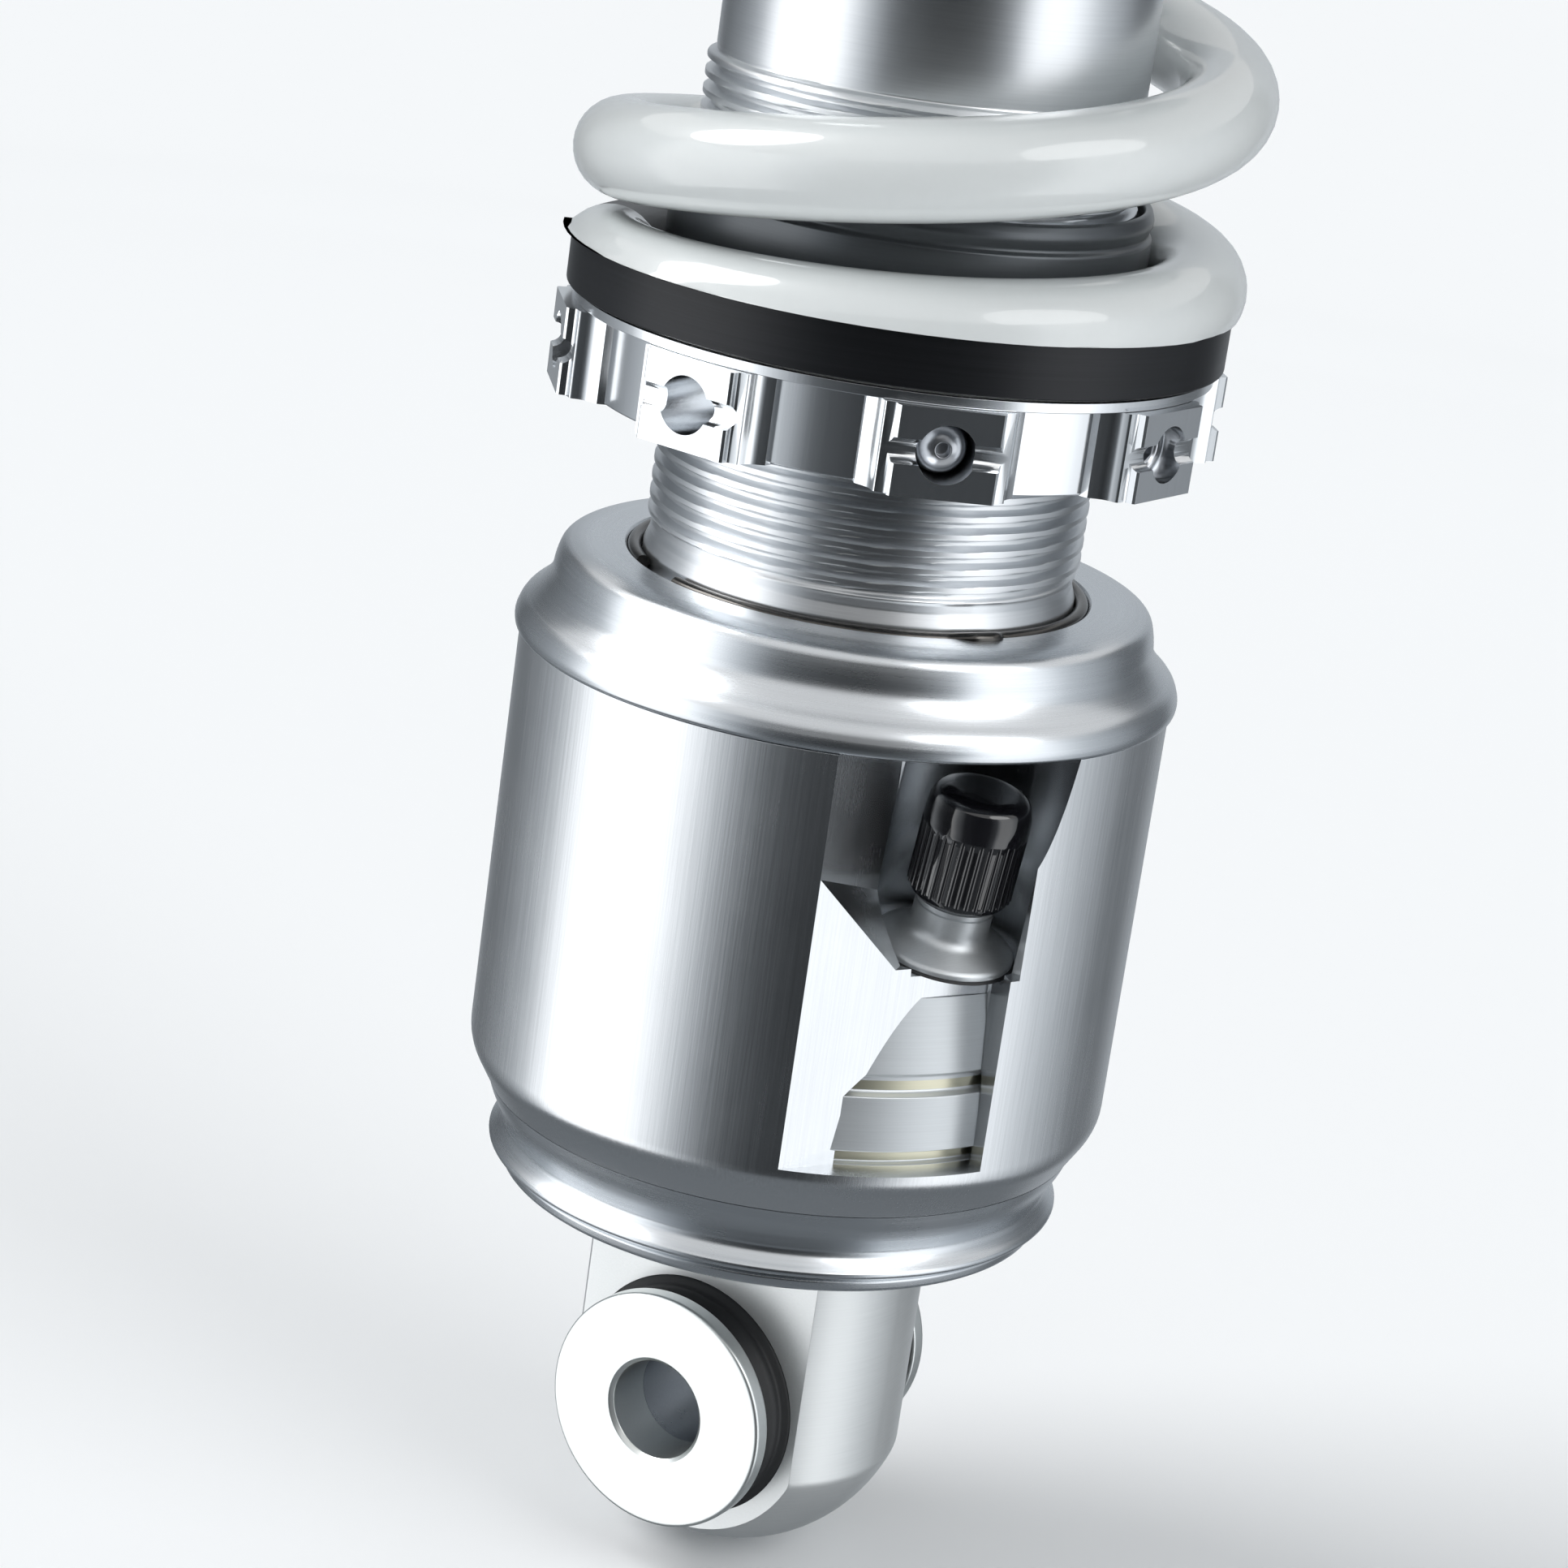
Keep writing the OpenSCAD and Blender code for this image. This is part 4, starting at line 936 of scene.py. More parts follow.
@dataclass
class PathTube:
    """A round tube along a line of points.

    Attributes:
        name: name of the piece.
        path: points in metres.
        radius: radius of the tube, in metres.
        sides: corners of its section.
    """

    name: str
    path: list[Vector]
    radius: float
    sides: int = 20

    def build(self) -> bpy.types.Object:
        """Sweep a circle along the path."""
        sketch = GeometrySketch(self.name + "_rule", {
            "Wire Radius": ("NodeSocketFloat", self.radius),
            "Sides": ("NodeSocketInt", self.sides),
            "Finish": ("NodeSocketMaterial", None)})
        line = sketch.node("GeometryNodeMeshToCurve")
        sketch.plug(sketch.given.outputs["Geometry"], line.inputs[0])
        sketch.close(sketch.tube(line.outputs[0]))
        mesh = bpy.data.meshes.new(self.name)
        mesh.from_pydata(self.path, [(i, i + 1) for i in range(len(self.path) - 1)], [])
        return sketch.run(self.name, mesh)


@dataclass
class RibRing:
    """Equal ribs that stand in a ring round the local Z axis.

    Attributes:
        name: name of the piece.
        count: number of ribs.
        ring_r: distance of the ribs from the axis, in millimetres.
        rib_r: radius of one rib.
        low: lower end of the ribs.
        high: upper end of the ribs.
        place: matrix to the part's frame, in millimetres.
    """

    name: str
    count: int
    ring_r: float
    rib_r: float
    low: float
    high: float
    place: Matrix

    def build(self) -> bpy.types.Object:
        """Stand one rib on each point of a circle."""
        sketch = GeometrySketch(self.name + "_rule", {
            "Count": ("NodeSocketInt", self.count),
            "Ring Radius": ("NodeSocketFloat", self.ring_r * MM),
            "Rib Radius": ("NodeSocketFloat", self.rib_r * MM),
            "Rib Length": ("NodeSocketFloat", (self.high - self.low) * MM),
            "Finish": ("NodeSocketMaterial", None)})
        given = sketch.given.outputs
        circle = sketch.node("GeometryNodeMeshCircle")
        sketch.plug(given["Count"], circle.inputs["Vertices"])
        sketch.plug(given["Ring Radius"], circle.inputs["Radius"])
        rib = sketch.node("GeometryNodeMeshCylinder")
        rib.inputs["Vertices"].default_value = 12
        sketch.plug(given["Rib Radius"], rib.inputs["Radius"])
        sketch.plug(given["Rib Length"], rib.inputs["Depth"])
        stand = sketch.node("GeometryNodeInstanceOnPoints")
        sketch.plug(circle.outputs[0], stand.inputs["Points"])
        sketch.plug(rib.outputs["Mesh"], stand.inputs["Instance"])
        sketch.close(stand.outputs[0])
        obj = sketch.run(self.name)
        lift = Matrix.Translation((0, 0, (self.low + self.high) / 2))
        obj.data.transform(Matrix.Scale(MM, 4) @ self.place @ lift @ Matrix.Scale(1 / MM, 4))
        return obj


# gas valve


@dataclass
class GasValve:
    """Filling valve that leans out of the pocket, with its ribbed cap."""

    azimuth: float = 65.0
    seat_r: float = 26.5
    tilt: float = 9.0
    flange_r: float = 8.0
    foot: float = 3.4
    neck_r: float = 4.5
    neck: float = 3.6
    stem_r: float = 3.65
    stem: float = 4.4
    cap_r: float = 6.0
    cap: float = 13.0
    ribs: int = 34

    def place(self) -> Matrix:
        """Matrix from the valve's seat to the part's frame, in millimetres."""
        return (Matrix.Rotation(math.radians(self.azimuth), 4, "Z")
                @ Matrix.Translation((0, -self.seat_r, STACK.valve_seat))
                @ Matrix.Rotation(math.radians(self.tilt), 4, "X"))

    def build(self, shop: Workshop) -> None:
        """Build the valve body, a thin black ring at the foot of its flange, and its cap."""
        place = self.place()
        top = self.foot + self.neck
        n, f = self.neck_r, self.flange_r
        body = [(0.9, -2.5), (3.85, -2.5), (3.85, 0.04), (f - 0.2, 0.04), (f, 0.3, 0.1), (f, 0.75, 0.2),
                (f - 0.35, 1.1, 0.2), (n + 1.5, self.foot - 1.4, 0.3), (n + 0.6, self.foot - 0.9, 0.5),
                (n, self.foot - 0.1, 0.9), (n, top - 1.25), (n - 0.22, top - 1.15), (n - 0.22, top - 1.0),
                (n, top - 0.9), (n, top - 0.5), (n - 0.3, top - 0.4), (n - 0.3, top), (self.stem_r, top),
                (self.stem_r, top + self.stem), (2.4, top + self.stem), (2.4, 1), (0.9, 1)]
        shop.turn("gas_valve_body_skin", body, "valve_aluminium", "damper", "gas_valve_body",
                  place=place, angle=28)
        # Thin black rubber ring round the foot of the flange, drawn for the dark line along the flange's rim.
        bead = [(f - 0.3, -0.02), (f + 0.3, -0.02, 0.1), (f + 0.2, 0.15, 0.1), (f + 0.02, 0.28, 0.1),
                (f - 0.3, 0.3)]
        shop.turn("valve_flange_dark_ring", bead, "black_rubber", "damper", place=place)
        self.build_cap(shop, place @ Matrix.Translation((0, 0, top + 0.15)))

    def build_cap(self, shop: Workshop, place: Matrix) -> None:
        """Build the cap with its ribs and its rounded crown."""
        r, h = self.cap_r, self.cap
        inside = self.stem + 1.1
        shell = [(3.75, 0), (r - 0.55, 0, 0.3), (r - 0.3, 0.9, 0.3), (r - 0.22, h * 0.62, 0.2),
                 (r, h * 0.67, 0.3), (r, h - 2.4, 1.2), (r - 0.6, h - 0.5, 1.2), (r - 2.0, h, 0.8),
                 (0, h - 0.15), (0, inside), (3.75, inside)]
        shop.turn("valve_cap_skin", shell, "black_plastic", "cap", "valve_cap", place=place, steps=6)
        ribs = RibRing("valve_cap_ribs", self.ribs, r - 0.34, 0.34, 0.85, h * 0.68, place).build()
        shop.dress(ribs, "black_plastic", "cap")


# eyes


@dataclass
class EyeBearing:
    """Bearing of one eye: spacers with flanges, inner sleeve and lip seals.

    Attributes:
        height: height of the eye's centre.
        label: lower or upper.
        carrier: body that holds the seals.
        bush: body that turns with the bolt.
    """

    height: float
    label: str
    carrier: str
    bush: str
    bore_r: float = 6.0
    sleeve_r: float = 7.6
    flange_r: float = 14.4
    flange: float = 2.3
    width: float = 38.6
    flats: float = 25.0
    seal_r: float = 14.7

    def build(self, shop: Workshop) -> None:
        """Build both spacers, the sleeve and the seals of the eye."""
        out, half, b = self.width / 2, self.flats / 2, self.bore_r
        r, s = self.flange_r, self.sleeve_r
        for side, name in ((Side.LEFT, "left"), (Side.RIGHT, "right")):
            spacer = [(b, half + 0.04), (s, half + 0.04), (s, out - self.flange, 0.3),
                      (r, out - self.flange, 0.35), (r, out, 0.5), (b + 0.5, out, 0.08),
                      (b, out - 0.5, 0.08)]
            shop.turn(f"{self.label}_spacer_{name}_skin", spacer, "zinc_steel", self.bush,
                      f"{self.label}_spacer_{name}", place=bolt_place(self.height, side), segments=160)
        sleeve = [(b, -half), (s, -half), (s, half), (b, half)]
        shop.turn(f"{self.label}_inner_sleeve_skin", sleeve, "satin_steel", self.bush,
                  f"{self.label}_inner_sleeve", place=bolt_place(self.height), segments=96)
        seals = []
        lip, r = half + (self.width - self.flats) / 2 - self.flange - 0.3, self.seal_r - 0.05
        for side in Side:
            seal = [(s + 0.05, half - 2.35), (r, half - 2.35), (r, half + 0.1, 0.3),
                    (r - 0.9, half + 0.8, 0.3), (r - 0.9, half + 1.8, 0.5), (r - 2.1, lip - 0.6, 0.5),
                    (r - 2.7, lip, 0.3), (s + 1.5, lip, 0.3), (s + 0.05, lip - 1)]
            seals.append(turned("seal", soften(seal), bolt_place(self.height, side), 128))
        shop.dress(fuse(f"{self.label}_eye_seals_skin", seals), "black_rubber", self.carrier,
                   f"{self.label}_eye_seals")


# damper tube


@dataclass
class DamperTube:
    """Damper tube with its right-hand thread."""

    crest_r: float = 24.9
    root_r: float = 23.8
    plain_r: float = 24.0
    bore_r: float = 23.0
    pitch: float = 2.0
    columns: int = 144
    per_pitch: int = 14
    start: float = 103.4
    end: float = 158.0
    relief_r: float = 24.35
    cone_foot: float = 100.9
    cone_slope: float = 0.35
    collar_foot: float = 110.0
    overlap: float = 1.2

    def radius(self, height: float, turn: float) -> float:
        """Radius of the tube's outside at a height and a share of a turn."""
        if height >= self.end:
            return self.plain_r
        past = max(0.0, height - self.cone_foot)
        foot = max(self.relief_r, self.crest_r - past * self.cone_slope)
        phase = ((height - turn * self.pitch) / self.pitch) % 1.0
        ridge = min(1.0, max(0.0, 1.9 - abs(phase - 0.5) * 5.0))
        threaded = self.root_r + (self.crest_r - self.root_r) * ridge
        fade = max(0.0, min(1.0, (height - self.start) / 1.4, (self.end - height) / 1.2))
        rest = foot if height < self.collar_foot else self.plain_r
        return rest + (threaded - rest) * fade

    def build(self, shop: Workshop) -> None:
        """Build the tube and dress it."""
        low, high = STACK.housing_top + 0.04, STACK.tube_top
        step = self.pitch / self.per_pitch
        heights = [low, STACK.head_top - self.overlap]
        count = int((self.end + 0.4 - heights[-1]) / step)
        heights += [heights[-1] + step * (k + 1) for k in range(count)]
        heights += [165.0, 190.0, high - 0.6, high]
        turns = [column / self.columns for column in range(self.columns)]
        rows = [[(self.radius(height, turn) - (0.5 if height == high else 0), height) for turn in turns]
                for height in heights]
        rows += [[(self.bore_r, height)] * self.columns for height in (high, low)]
        verts = [Vector((*polar(360 * turn, radius), height))
                 for row in rows for turn, (radius, height) in zip(turns, row)]
        faces = []
        for row in range(len(rows)):
            here, after = row * self.columns, (row + 1) % len(rows) * self.columns
            for column in range(self.columns):
                nxt = (column + 1) % self.columns
                faces.append((here + column, here + nxt, after + nxt, after + column))
        tube = mesh_object("damper_tube_skin", verts, faces)
        shop.dress(tube, "threaded_aluminium", "damper", "damper_tube", angle=40)


# preload adjuster


@dataclass
class PreloadCollar:
    """Castellated collar with grooved lugs, its click pin and its lock screw."""

    lugs: int = 8
    first_az: float = -4.5
    lug_r: float = 37.76
    lug_w: float = 11.6
    hollow_r: float = 33.8
    rim_r: float = 36.4
    bore_r: float = 25.05
    hole_r: float = 3.2
    hole_floor: float = 27.25
    groove_r: float = 1.4

    def lug_outline(self) -> list[Point]:
        """Plan of one lug with the shoulders on both sides, looking out along -Y."""
        w, r, h = self.lug_w / 2, self.lug_r, self.hollow_r
        half = [(w - 0.25, r), (w, r - 0.25), (w + 0.1, r - 0.95), (w + 0.35, r - 1.15),
                (w + 1.15, r - 1.3), (w + 1.35, r - 1.55), (w + 1.4, r - 2.2), (w + 1.65, r - 2.9),
                (w + 2.1, r - 3.5), (w + 2.8, h - 0.25), (w + 2.8, h - 2.2)]
        return [(x, -y) for x, y in half] + [(-x, -y) for x, y in reversed(half)]

    def at_lug(self, index: float) -> Matrix:
        """Matrix that turns a piece drawn at azimuth 0 to a lug."""
        return Matrix.Rotation(math.radians(self.first_az + index * 360 / self.lugs), 4, "Z")

    def at_hole(self, index: float) -> Matrix:
        """Matrix that lays a piece along the hole of a lug, its +Z out of the collar."""
        middle = (STACK.collar + STACK.collar_lugs_top) / 2
        return (self.at_lug(index) @ Matrix.Translation((0, 0, middle))
                @ Matrix.Rotation(math.radians(90), 4, "X"))

    def build(self, shop: Workshop) -> None:
        """Build the collar, the click pin and the lock screw."""
        self.build_ring(shop)
        self.build_pin(shop)
        self.build_screw(shop)

    def build_ring(self, shop: Workshop) -> None:
        """Build the collar with its lugs, spanner holes and grooves."""
        low, high, top = STACK.collar, STACK.collar_lugs_top, STACK.collar_top
        middle = (low + high) / 2
        ring = [(self.bore_r, low), (self.hollow_r, low, 0.3), (self.hollow_r, high, 0.1),
                (self.rim_r, high, 0.15), (self.rim_r, top, 0.2), (self.bore_r, top)]
        collar = turned("preload_collar_skin", soften(ring), segments=192)
        for index in range(self.lugs):
            carve(collar, [prism("lug", self.lug_outline(), low, high - 0.02, self.at_lug(index))], "UNION")
        tools = []
        for index in range(self.lugs):
            tools.append(drum("hole", self.hole_r, self.hole_floor, 60, self.at_hole(index), 48))
            along = (self.at_lug(index) @ Matrix.Translation((0, -self.lug_r - 0.1, middle))
                     @ Matrix.Rotation(math.radians(90), 4, "Y"))
            reach = self.lug_w / 2 + 1.6
            tools.append(drum("groove", self.groove_r, -reach, reach, along, 40))
        carve(collar, tools)
        break_edges(collar, 0.16, 38, 2)
        shop.dress(collar, "machined_collar", "collar", "preload_collar", angle=32)

    def build_pin(self, shop: Workshop) -> None:
        """Build the round-nosed click pin in the second lug's hole."""
        f = self.hole_floor + 0.05
        pin = [(0, f), (self.hole_r - 0.06, f), (self.hole_r - 0.06, f + 5.4, 0.6), (2.75, f + 7.0, 1.2),
               (1.8, f + 7.9, 0.8), (0.8, f + 8.2, 0.2), (0.8, f + 6.6), (0, f + 6.4)]
        shop.turn("collar_detent_pin_skin", pin, "satin_steel", "collar", "collar_detent_pin",
                  place=self.at_hole(1), segments=64)

    def build_screw(self, shop: Workshop) -> None:
        """Build the lock screw with its hexagon socket in the third lug's hole."""
        f, out = self.hole_floor + 0.05, self.at_hole(2)
        screw = [(0, f), (self.hole_r - 0.06, f), (self.hole_r - 0.06, f + 7.6, 0.7), (2.2, f + 7.6, 0.2),
                 (1.95, f + 7.3), (0, f + 7.3)]
        body = turned("collar_lock_screw_skin", soften(screw), out, 64)
        hexagon = [polar(60 * k, 1.75) for k in range(6)]
        carve(body, [prism("socket", hexagon, f + 4.8, f + 9, out)])
        shop.dress(body, "satin_steel", "collar", "collar_lock_screw")


@dataclass
class SpringSeat:
    """Black spring seat with the slip washer below it and the guide inside the spring."""

    seat_r: float = 37.3
    bore_r: float = 25.5
    guide_r: float = 27.0
    guide_top: float = 146.4

    def build(self, shop: Workshop) -> None:
        """Build the slip washer, the seat and the guide."""
        z0, z1 = STACK.seat, STACK.spring_foot
        washer = [(25.4, z0 - 0.38), (34.3, z0 - 0.38), (34.3, z0 - 0.02), (25.4, z0 - 0.02)]
        shop.turn("slip_washer_skin", washer, "white_nylon", "seat", "slip_washer")
        seat = [(self.bore_r, z0), (self.seat_r, z0, 0.25), (self.seat_r, z1, 0.35),
                (self.guide_r + 0.04, z1), (self.guide_r + 0.04, z1 - 3.5), (self.bore_r, z1 - 3.5)]
        shop.turn("spring_seat_skin", seat, "black_anodised", "seat", "spring_seat", segments=224)
        g, t = self.guide_r, self.guide_top
        guide = [(self.bore_r, z1 - 3.46), (g, z1 - 3.46), (g, t - 3.4, 0.2), (g - 0.5, t - 2.9, 0.3),
                 (g - 0.35, t - 2.4, 0.3), (g, t - 1.3, 0.9), (g - 0.5, t, 0.9),
                 (self.bore_r + 0.3, t, 0.5), (self.bore_r, t - 1)]
        shop.turn("spring_guide_skin", guide, "guide_plastic", "seat", "spring_guide", segments=160)


@dataclass
class CoilSpring:
    """Main spring: one wire wound right-handed, with closed ends ground flat."""

    wire_r: float = 5.5
    coil_r: float = 32.9
    turns: float = 7.3
    tip_az: float = -60.0
    tip: float = 2.2
    end_gap: float = 0.6
    blend: float = 0.12
    stroke: float = 56.0
    steps: int = 560
    sides: int = 32

    def build(self, shop: Workshop) -> None:
        """Wind the spring and dress it."""
        low, high = STACK.spring_foot + 0.05, STACK.retainer - 0.05
        end_pitch = 2 * self.wire_r + self.end_gap
        rise = high - low + 2 * (self.wire_r - self.tip)
        free = end_pitch + (rise - end_pitch * self.turns) / (self.turns - 2)
        sketch = GeometrySketch("main_spring_rule", {
            "Turns": ("NodeSocketFloat", self.turns),
            "Coil Radius": ("NodeSocketFloat", self.coil_r * MM),
            "Wire Radius": ("NodeSocketFloat", self.wire_r * MM),
            "Tip Height": ("NodeSocketFloat", (low + self.tip - self.wire_r) * MM),
            "End Pitch": ("NodeSocketFloat", end_pitch * MM),
            "Free Pitch": ("NodeSocketFloat", free * MM),
            "Blend": ("NodeSocketFloat", self.blend),
            "Low Plane": ("NodeSocketFloat", low * MM),
            "High Plane": ("NodeSocketFloat", high * MM),
            "Start": ("NodeSocketFloat", math.radians(self.tip_az)),
            "Steps": ("NodeSocketInt", self.steps),
            "Sides": ("NodeSocketInt", self.sides),
            "Finish": ("NodeSocketMaterial", None)})
        sketch.close(self.grind(sketch, self.wind(sketch)))
        spring = sketch.run("main_spring_skin")
        shop.dress(spring, "spring_paint", "seat", "main_spring", angle=50)
        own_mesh(spring)

    def wind(self, sketch: GeometrySketch) -> bpy.types.NodeSocket:
        """Wind the wire: close turns at both ends and a free pitch between them."""
        given = sketch.given.outputs
        line = sketch.node("GeometryNodeCurvePrimitiveLine")
        line.inputs["End"].default_value = (0, 0, 1)
        fine = sketch.node("GeometryNodeResampleCurve")
        sketch.plug(line.outputs[0], fine.inputs["Curve"])
        sketch.plug(given["Steps"], fine.inputs["Count"])
        share = sketch.node("GeometryNodeSplineParameter").outputs["Factor"]
        t = sketch.math("MULTIPLY", share, given["Turns"])
        angle = sketch.math("ADD", sketch.math("MULTIPLY", t, 2 * math.pi), given["Start"])
        first = self._past(sketch, sketch.math("SUBTRACT", t, 1.0))
        second = self._past(sketch, sketch.math("ADD", sketch.math("SUBTRACT", t, given["Turns"]), 1.0))
        gain = sketch.math("SUBTRACT", given["Free Pitch"], given["End Pitch"])
        height = sketch.math("ADD", sketch.math("ADD", given["Tip Height"],
                                                sketch.math("MULTIPLY", given["End Pitch"], t)),
                             sketch.math("MULTIPLY", gain, sketch.math("SUBTRACT", first, second)))
        radius = given["Coil Radius"]
        place = sketch.combine(sketch.math("MULTIPLY", radius, sketch.math("SINE", angle)),
                               sketch.math("MULTIPLY", sketch.math("MULTIPLY", radius, -1.0),
                                           sketch.math("COSINE", angle)), height)
        bend = sketch.node("GeometryNodeSetPosition")
        sketch.plug(fine.outputs[0], bend.inputs["Geometry"])
        sketch.plug(place, bend.inputs["Position"])
        return sketch.tube(bend.outputs[0])

    @staticmethod
    def grind(sketch: GeometrySketch, wire: bpy.types.NodeSocket) -> bpy.types.NodeSocket:
        """Grind both ends of the wire flat."""
        given = sketch.given.outputs
        where = sketch.node("ShaderNodeSeparateXYZ")
        sketch.plug(sketch.node("GeometryNodeInputPosition").outputs[0], where.inputs[0])
        flat = sketch.math("MINIMUM", sketch.math("MAXIMUM", where.outputs[2], given["Low Plane"]),
                           given["High Plane"])
        ground = sketch.node("GeometryNodeSetPosition")
        sketch.plug(wire, ground.inputs["Geometry"])
        sketch.plug(sketch.combine(where.outputs[0], where.outputs[1], flat), ground.inputs["Position"])
        return ground.outputs[0]

    def _past(self, sketch: GeometrySketch, t: bpy.types.NodeSocket) -> bpy.types.NodeSocket:
        """Distance run past a bend in the pitch, rounded over the blend on either side."""
        blend = sketch.given.outputs["Blend"]
        wide = sketch.math("MULTIPLY", blend, 2.0)
        share = sketch.math("DIVIDE", sketch.math("ADD", t, blend), wide)
        share = sketch.math("MINIMUM", sketch.math("MAXIMUM", share, 0.0), 1.0)
        curve = sketch.math("MULTIPLY", blend, sketch.math("MULTIPLY", share, share))
        return sketch.math("ADD", curve, sketch.math("MAXIMUM", sketch.math("SUBTRACT", t, blend), 0.0))


# rod side


@dataclass
class RodEnd:
    """Everything that the rod carries outside the tube, and the head that it slides through."""

    rod_r: float = 8.0
    bump_r: float = 19.0
    retainer_r: float = 39.0
    eye: EyeBlock = field(default_factory=EyeBlock)

    def build(self, shop: Workshop) -> None:
        """Build the seal head, rod, bump stop, retainer, nut and eye."""
        self.build_seal_head(shop)
        self.build_rod(shop)
        self.build_retainer(shop)
        self.build_eye(shop)

    def build_seal_head(self, shop: Workshop) -> None:
        """Build the head that closes the tube and its dust wiper."""
        t, s, r = STACK.tube_top, STACK.seal_top, self.rod_r
        head = [(r + 1.6, t - 18), (22.96, t - 18), (22.96, t + 0.04), (24, t + 0.04, 0.2), (24, s, 1.2),
                (r + 4, s, 0.3), (r + 4, s - 4), (r + 0.6, s - 4), (r + 0.6, s - 6), (r + 3.6, s - 6),
                (r + 3.6, s - 11), (r + 1.6, s - 11)]
        shop.turn("seal_head_skin", head, "turned_aluminium", "damper", "seal_head", segments=160)
        wiper = [(r + 0.6, s - 3.96), (r + 3.96, s - 3.96), (r + 3.96, s - 0.16, 0.2), (r + 2.2, s, 0.3),
                 (r + 1.3, s + 1.2, 0.4), (r + 0.05, s + 1.6, 0.2), (r + 0.05, s + 0.6), (r + 0.9, s - 1)]
        shop.turn("dust_wiper_skin", wiper, "black_rubber", "damper", "dust_wiper", segments=96)

    def build_rod(self, shop: Workshop) -> None:
        """Build the rod, the bump stop and its washer."""
        piston_top = STACK.tube_top - 23
        foot, top = piston_top - 12 - 1.85 - 9 - 5, STACK.rod_eye - 14
        r, seat = self.rod_r, STACK.retainer + 5
        rod = [(3, foot), (6, foot, 0.5), (6, piston_top + 1.85), (r, piston_top + 1.85, 0.3), (r, seat),
               (r - 1, seat), (r - 1, top), (3, top)]
        shop.turn("piston_rod_skin", rod, "hard_chrome", "rod", "piston_rod")
        b, z, h = self.bump_r, STACK.bump, 15.4
        stop = [(r + 0.05, z + 0.8), (r + 1, z, 0.5), (b - 7, z, 1), (b - 4, z + 1.6, 2),
                (b - 3.6, z + h * 0.4, 1.4), (b - 5.4, z + h * 0.49, 0.8), (b - 1.0, z + h * 0.6, 1.4),
                (b, z + h * 0.78, 1.6), (b - 0.8, z + h, 1.2), (r + 0.05, z + h)]
        shop.turn("bump_stop_skin", stop, "bump_foam", "rod", "bump_stop")
        w = STACK.retainer - 1.55
        washer = [(r + 0.05, w), (b, w, 0.3), (b, w + 1.5, 0.3), (r + 0.05, w + 1.5)]
        shop.turn("bump_stop_washer_skin", washer, "zinc_steel", "rod", "bump_stop_washer")

    def build_retainer(self, shop: Workshop) -> None:
        """Build the dished plate that holds the spring's upper end, and the nut above it."""
        z, r, b = STACK.retainer, self.rod_r, self.retainer_r
        plate = [(r + 0.05, z), (20, z), (20.4, z - 3, 0.4), (26.2, z - 4, 0.5), (27, z - 3.2, 0.3),
                 (27, z, 0.3), (b - 0.3, z, 0.4), (b, z + 1, 0.6), (b, z + 3.3, 0.9),
                 (b - 1.8, z + 4.4, 0.9), (21, z + 5, 0.8), (19, z + 7, 0.6), (14, z + 7, 0.4),
                 (14, z + 4.96), (r + 0.05, z + 4.96)]
        shop.turn("spring_retainer_skin", plate, "turned_aluminium", "rod", "spring_retainer", segments=192)
        hexagon = [polar(60 * k + 30, 12.7) for k in range(6)]
        nut = prism("rod_end_nut_skin", hexagon, z + 7.55, z + 14.05)
        carve(nut, [drum("bore", r - 0.96, z, z + 20, None, 64)])
        dome = [(0, z + 7.5), (11.6, z + 7.5), (13.2, z + 8.4), (13.2, z + 13.2), (11.6, z + 14.1),
                (0, z + 14.1)]
        carve(nut, [turned("dome", soften(dome), segments=96)], "INTERSECT")
        break_edges(nut, 0.2, 25, 2)
        shop.dress(nut, "zinc_steel", "rod", "rod_end_nut", angle=28)

    def build_eye(self, shop: Workshop) -> None:
        """Build the rod eye and the knob on its side."""
        foot = STACK.retainer + 14.1
        knob_z = foot + 8.2
        flip = Matrix.Translation((0, 0, STACK.rod_eye)) @ Matrix.Rotation(math.pi, 4, "X")
        eye = self.eye.build("rod_end_eye_skin", STACK.rod_eye - foot - 3 + 0.2)
        eye.data.transform(Matrix.Scale(MM, 4) @ flip @ Matrix.Scale(1 / MM, 4))
        collar = [(0, foot), (17, foot, 0.4), (20, foot + 3, 0.4), (19.4, foot + 3.6, 0.3), (0, foot + 3.6)]
        carve(eye, [turned("collar", soften(collar), segments=160)], "UNION")
        carve(eye, [drum("rod", 7.04, foot - 1, STACK.rod_eye - 13.6, None, 64)])
        out = Matrix.Translation((20.3, 0, knob_z)) @ Matrix.Rotation(math.radians(90), 4, "Y")
        carve(eye, [drum("stem", 3.05, -5, 7, out, 48)])
        shop.dress(eye, "turned_aluminium", "rod", "rod_end_eye")
        knob = [(0, -2.6), (3, -2.6), (3, 0), (6.6, 0, 0.3), (6.6, 5, 0.6), (0, 5)]
        body = turned("rebound_knob_skin", soften(knob), out, 96)
        carve(body, [prism("slot", [(-0.6, -9), (0.6, -9), (0.6, 9), (-0.6, 9)], 3.8, 7, out)])
        shop.dress(body, "gold_anodised", "knob", "rebound_knob")
        ribs = RibRing("rebound_knob_ribs", 30, 6.6, 0.36, 0.9, 4.4, out).build()
        shop.dress(ribs, "gold_anodised", "knob")


# studio


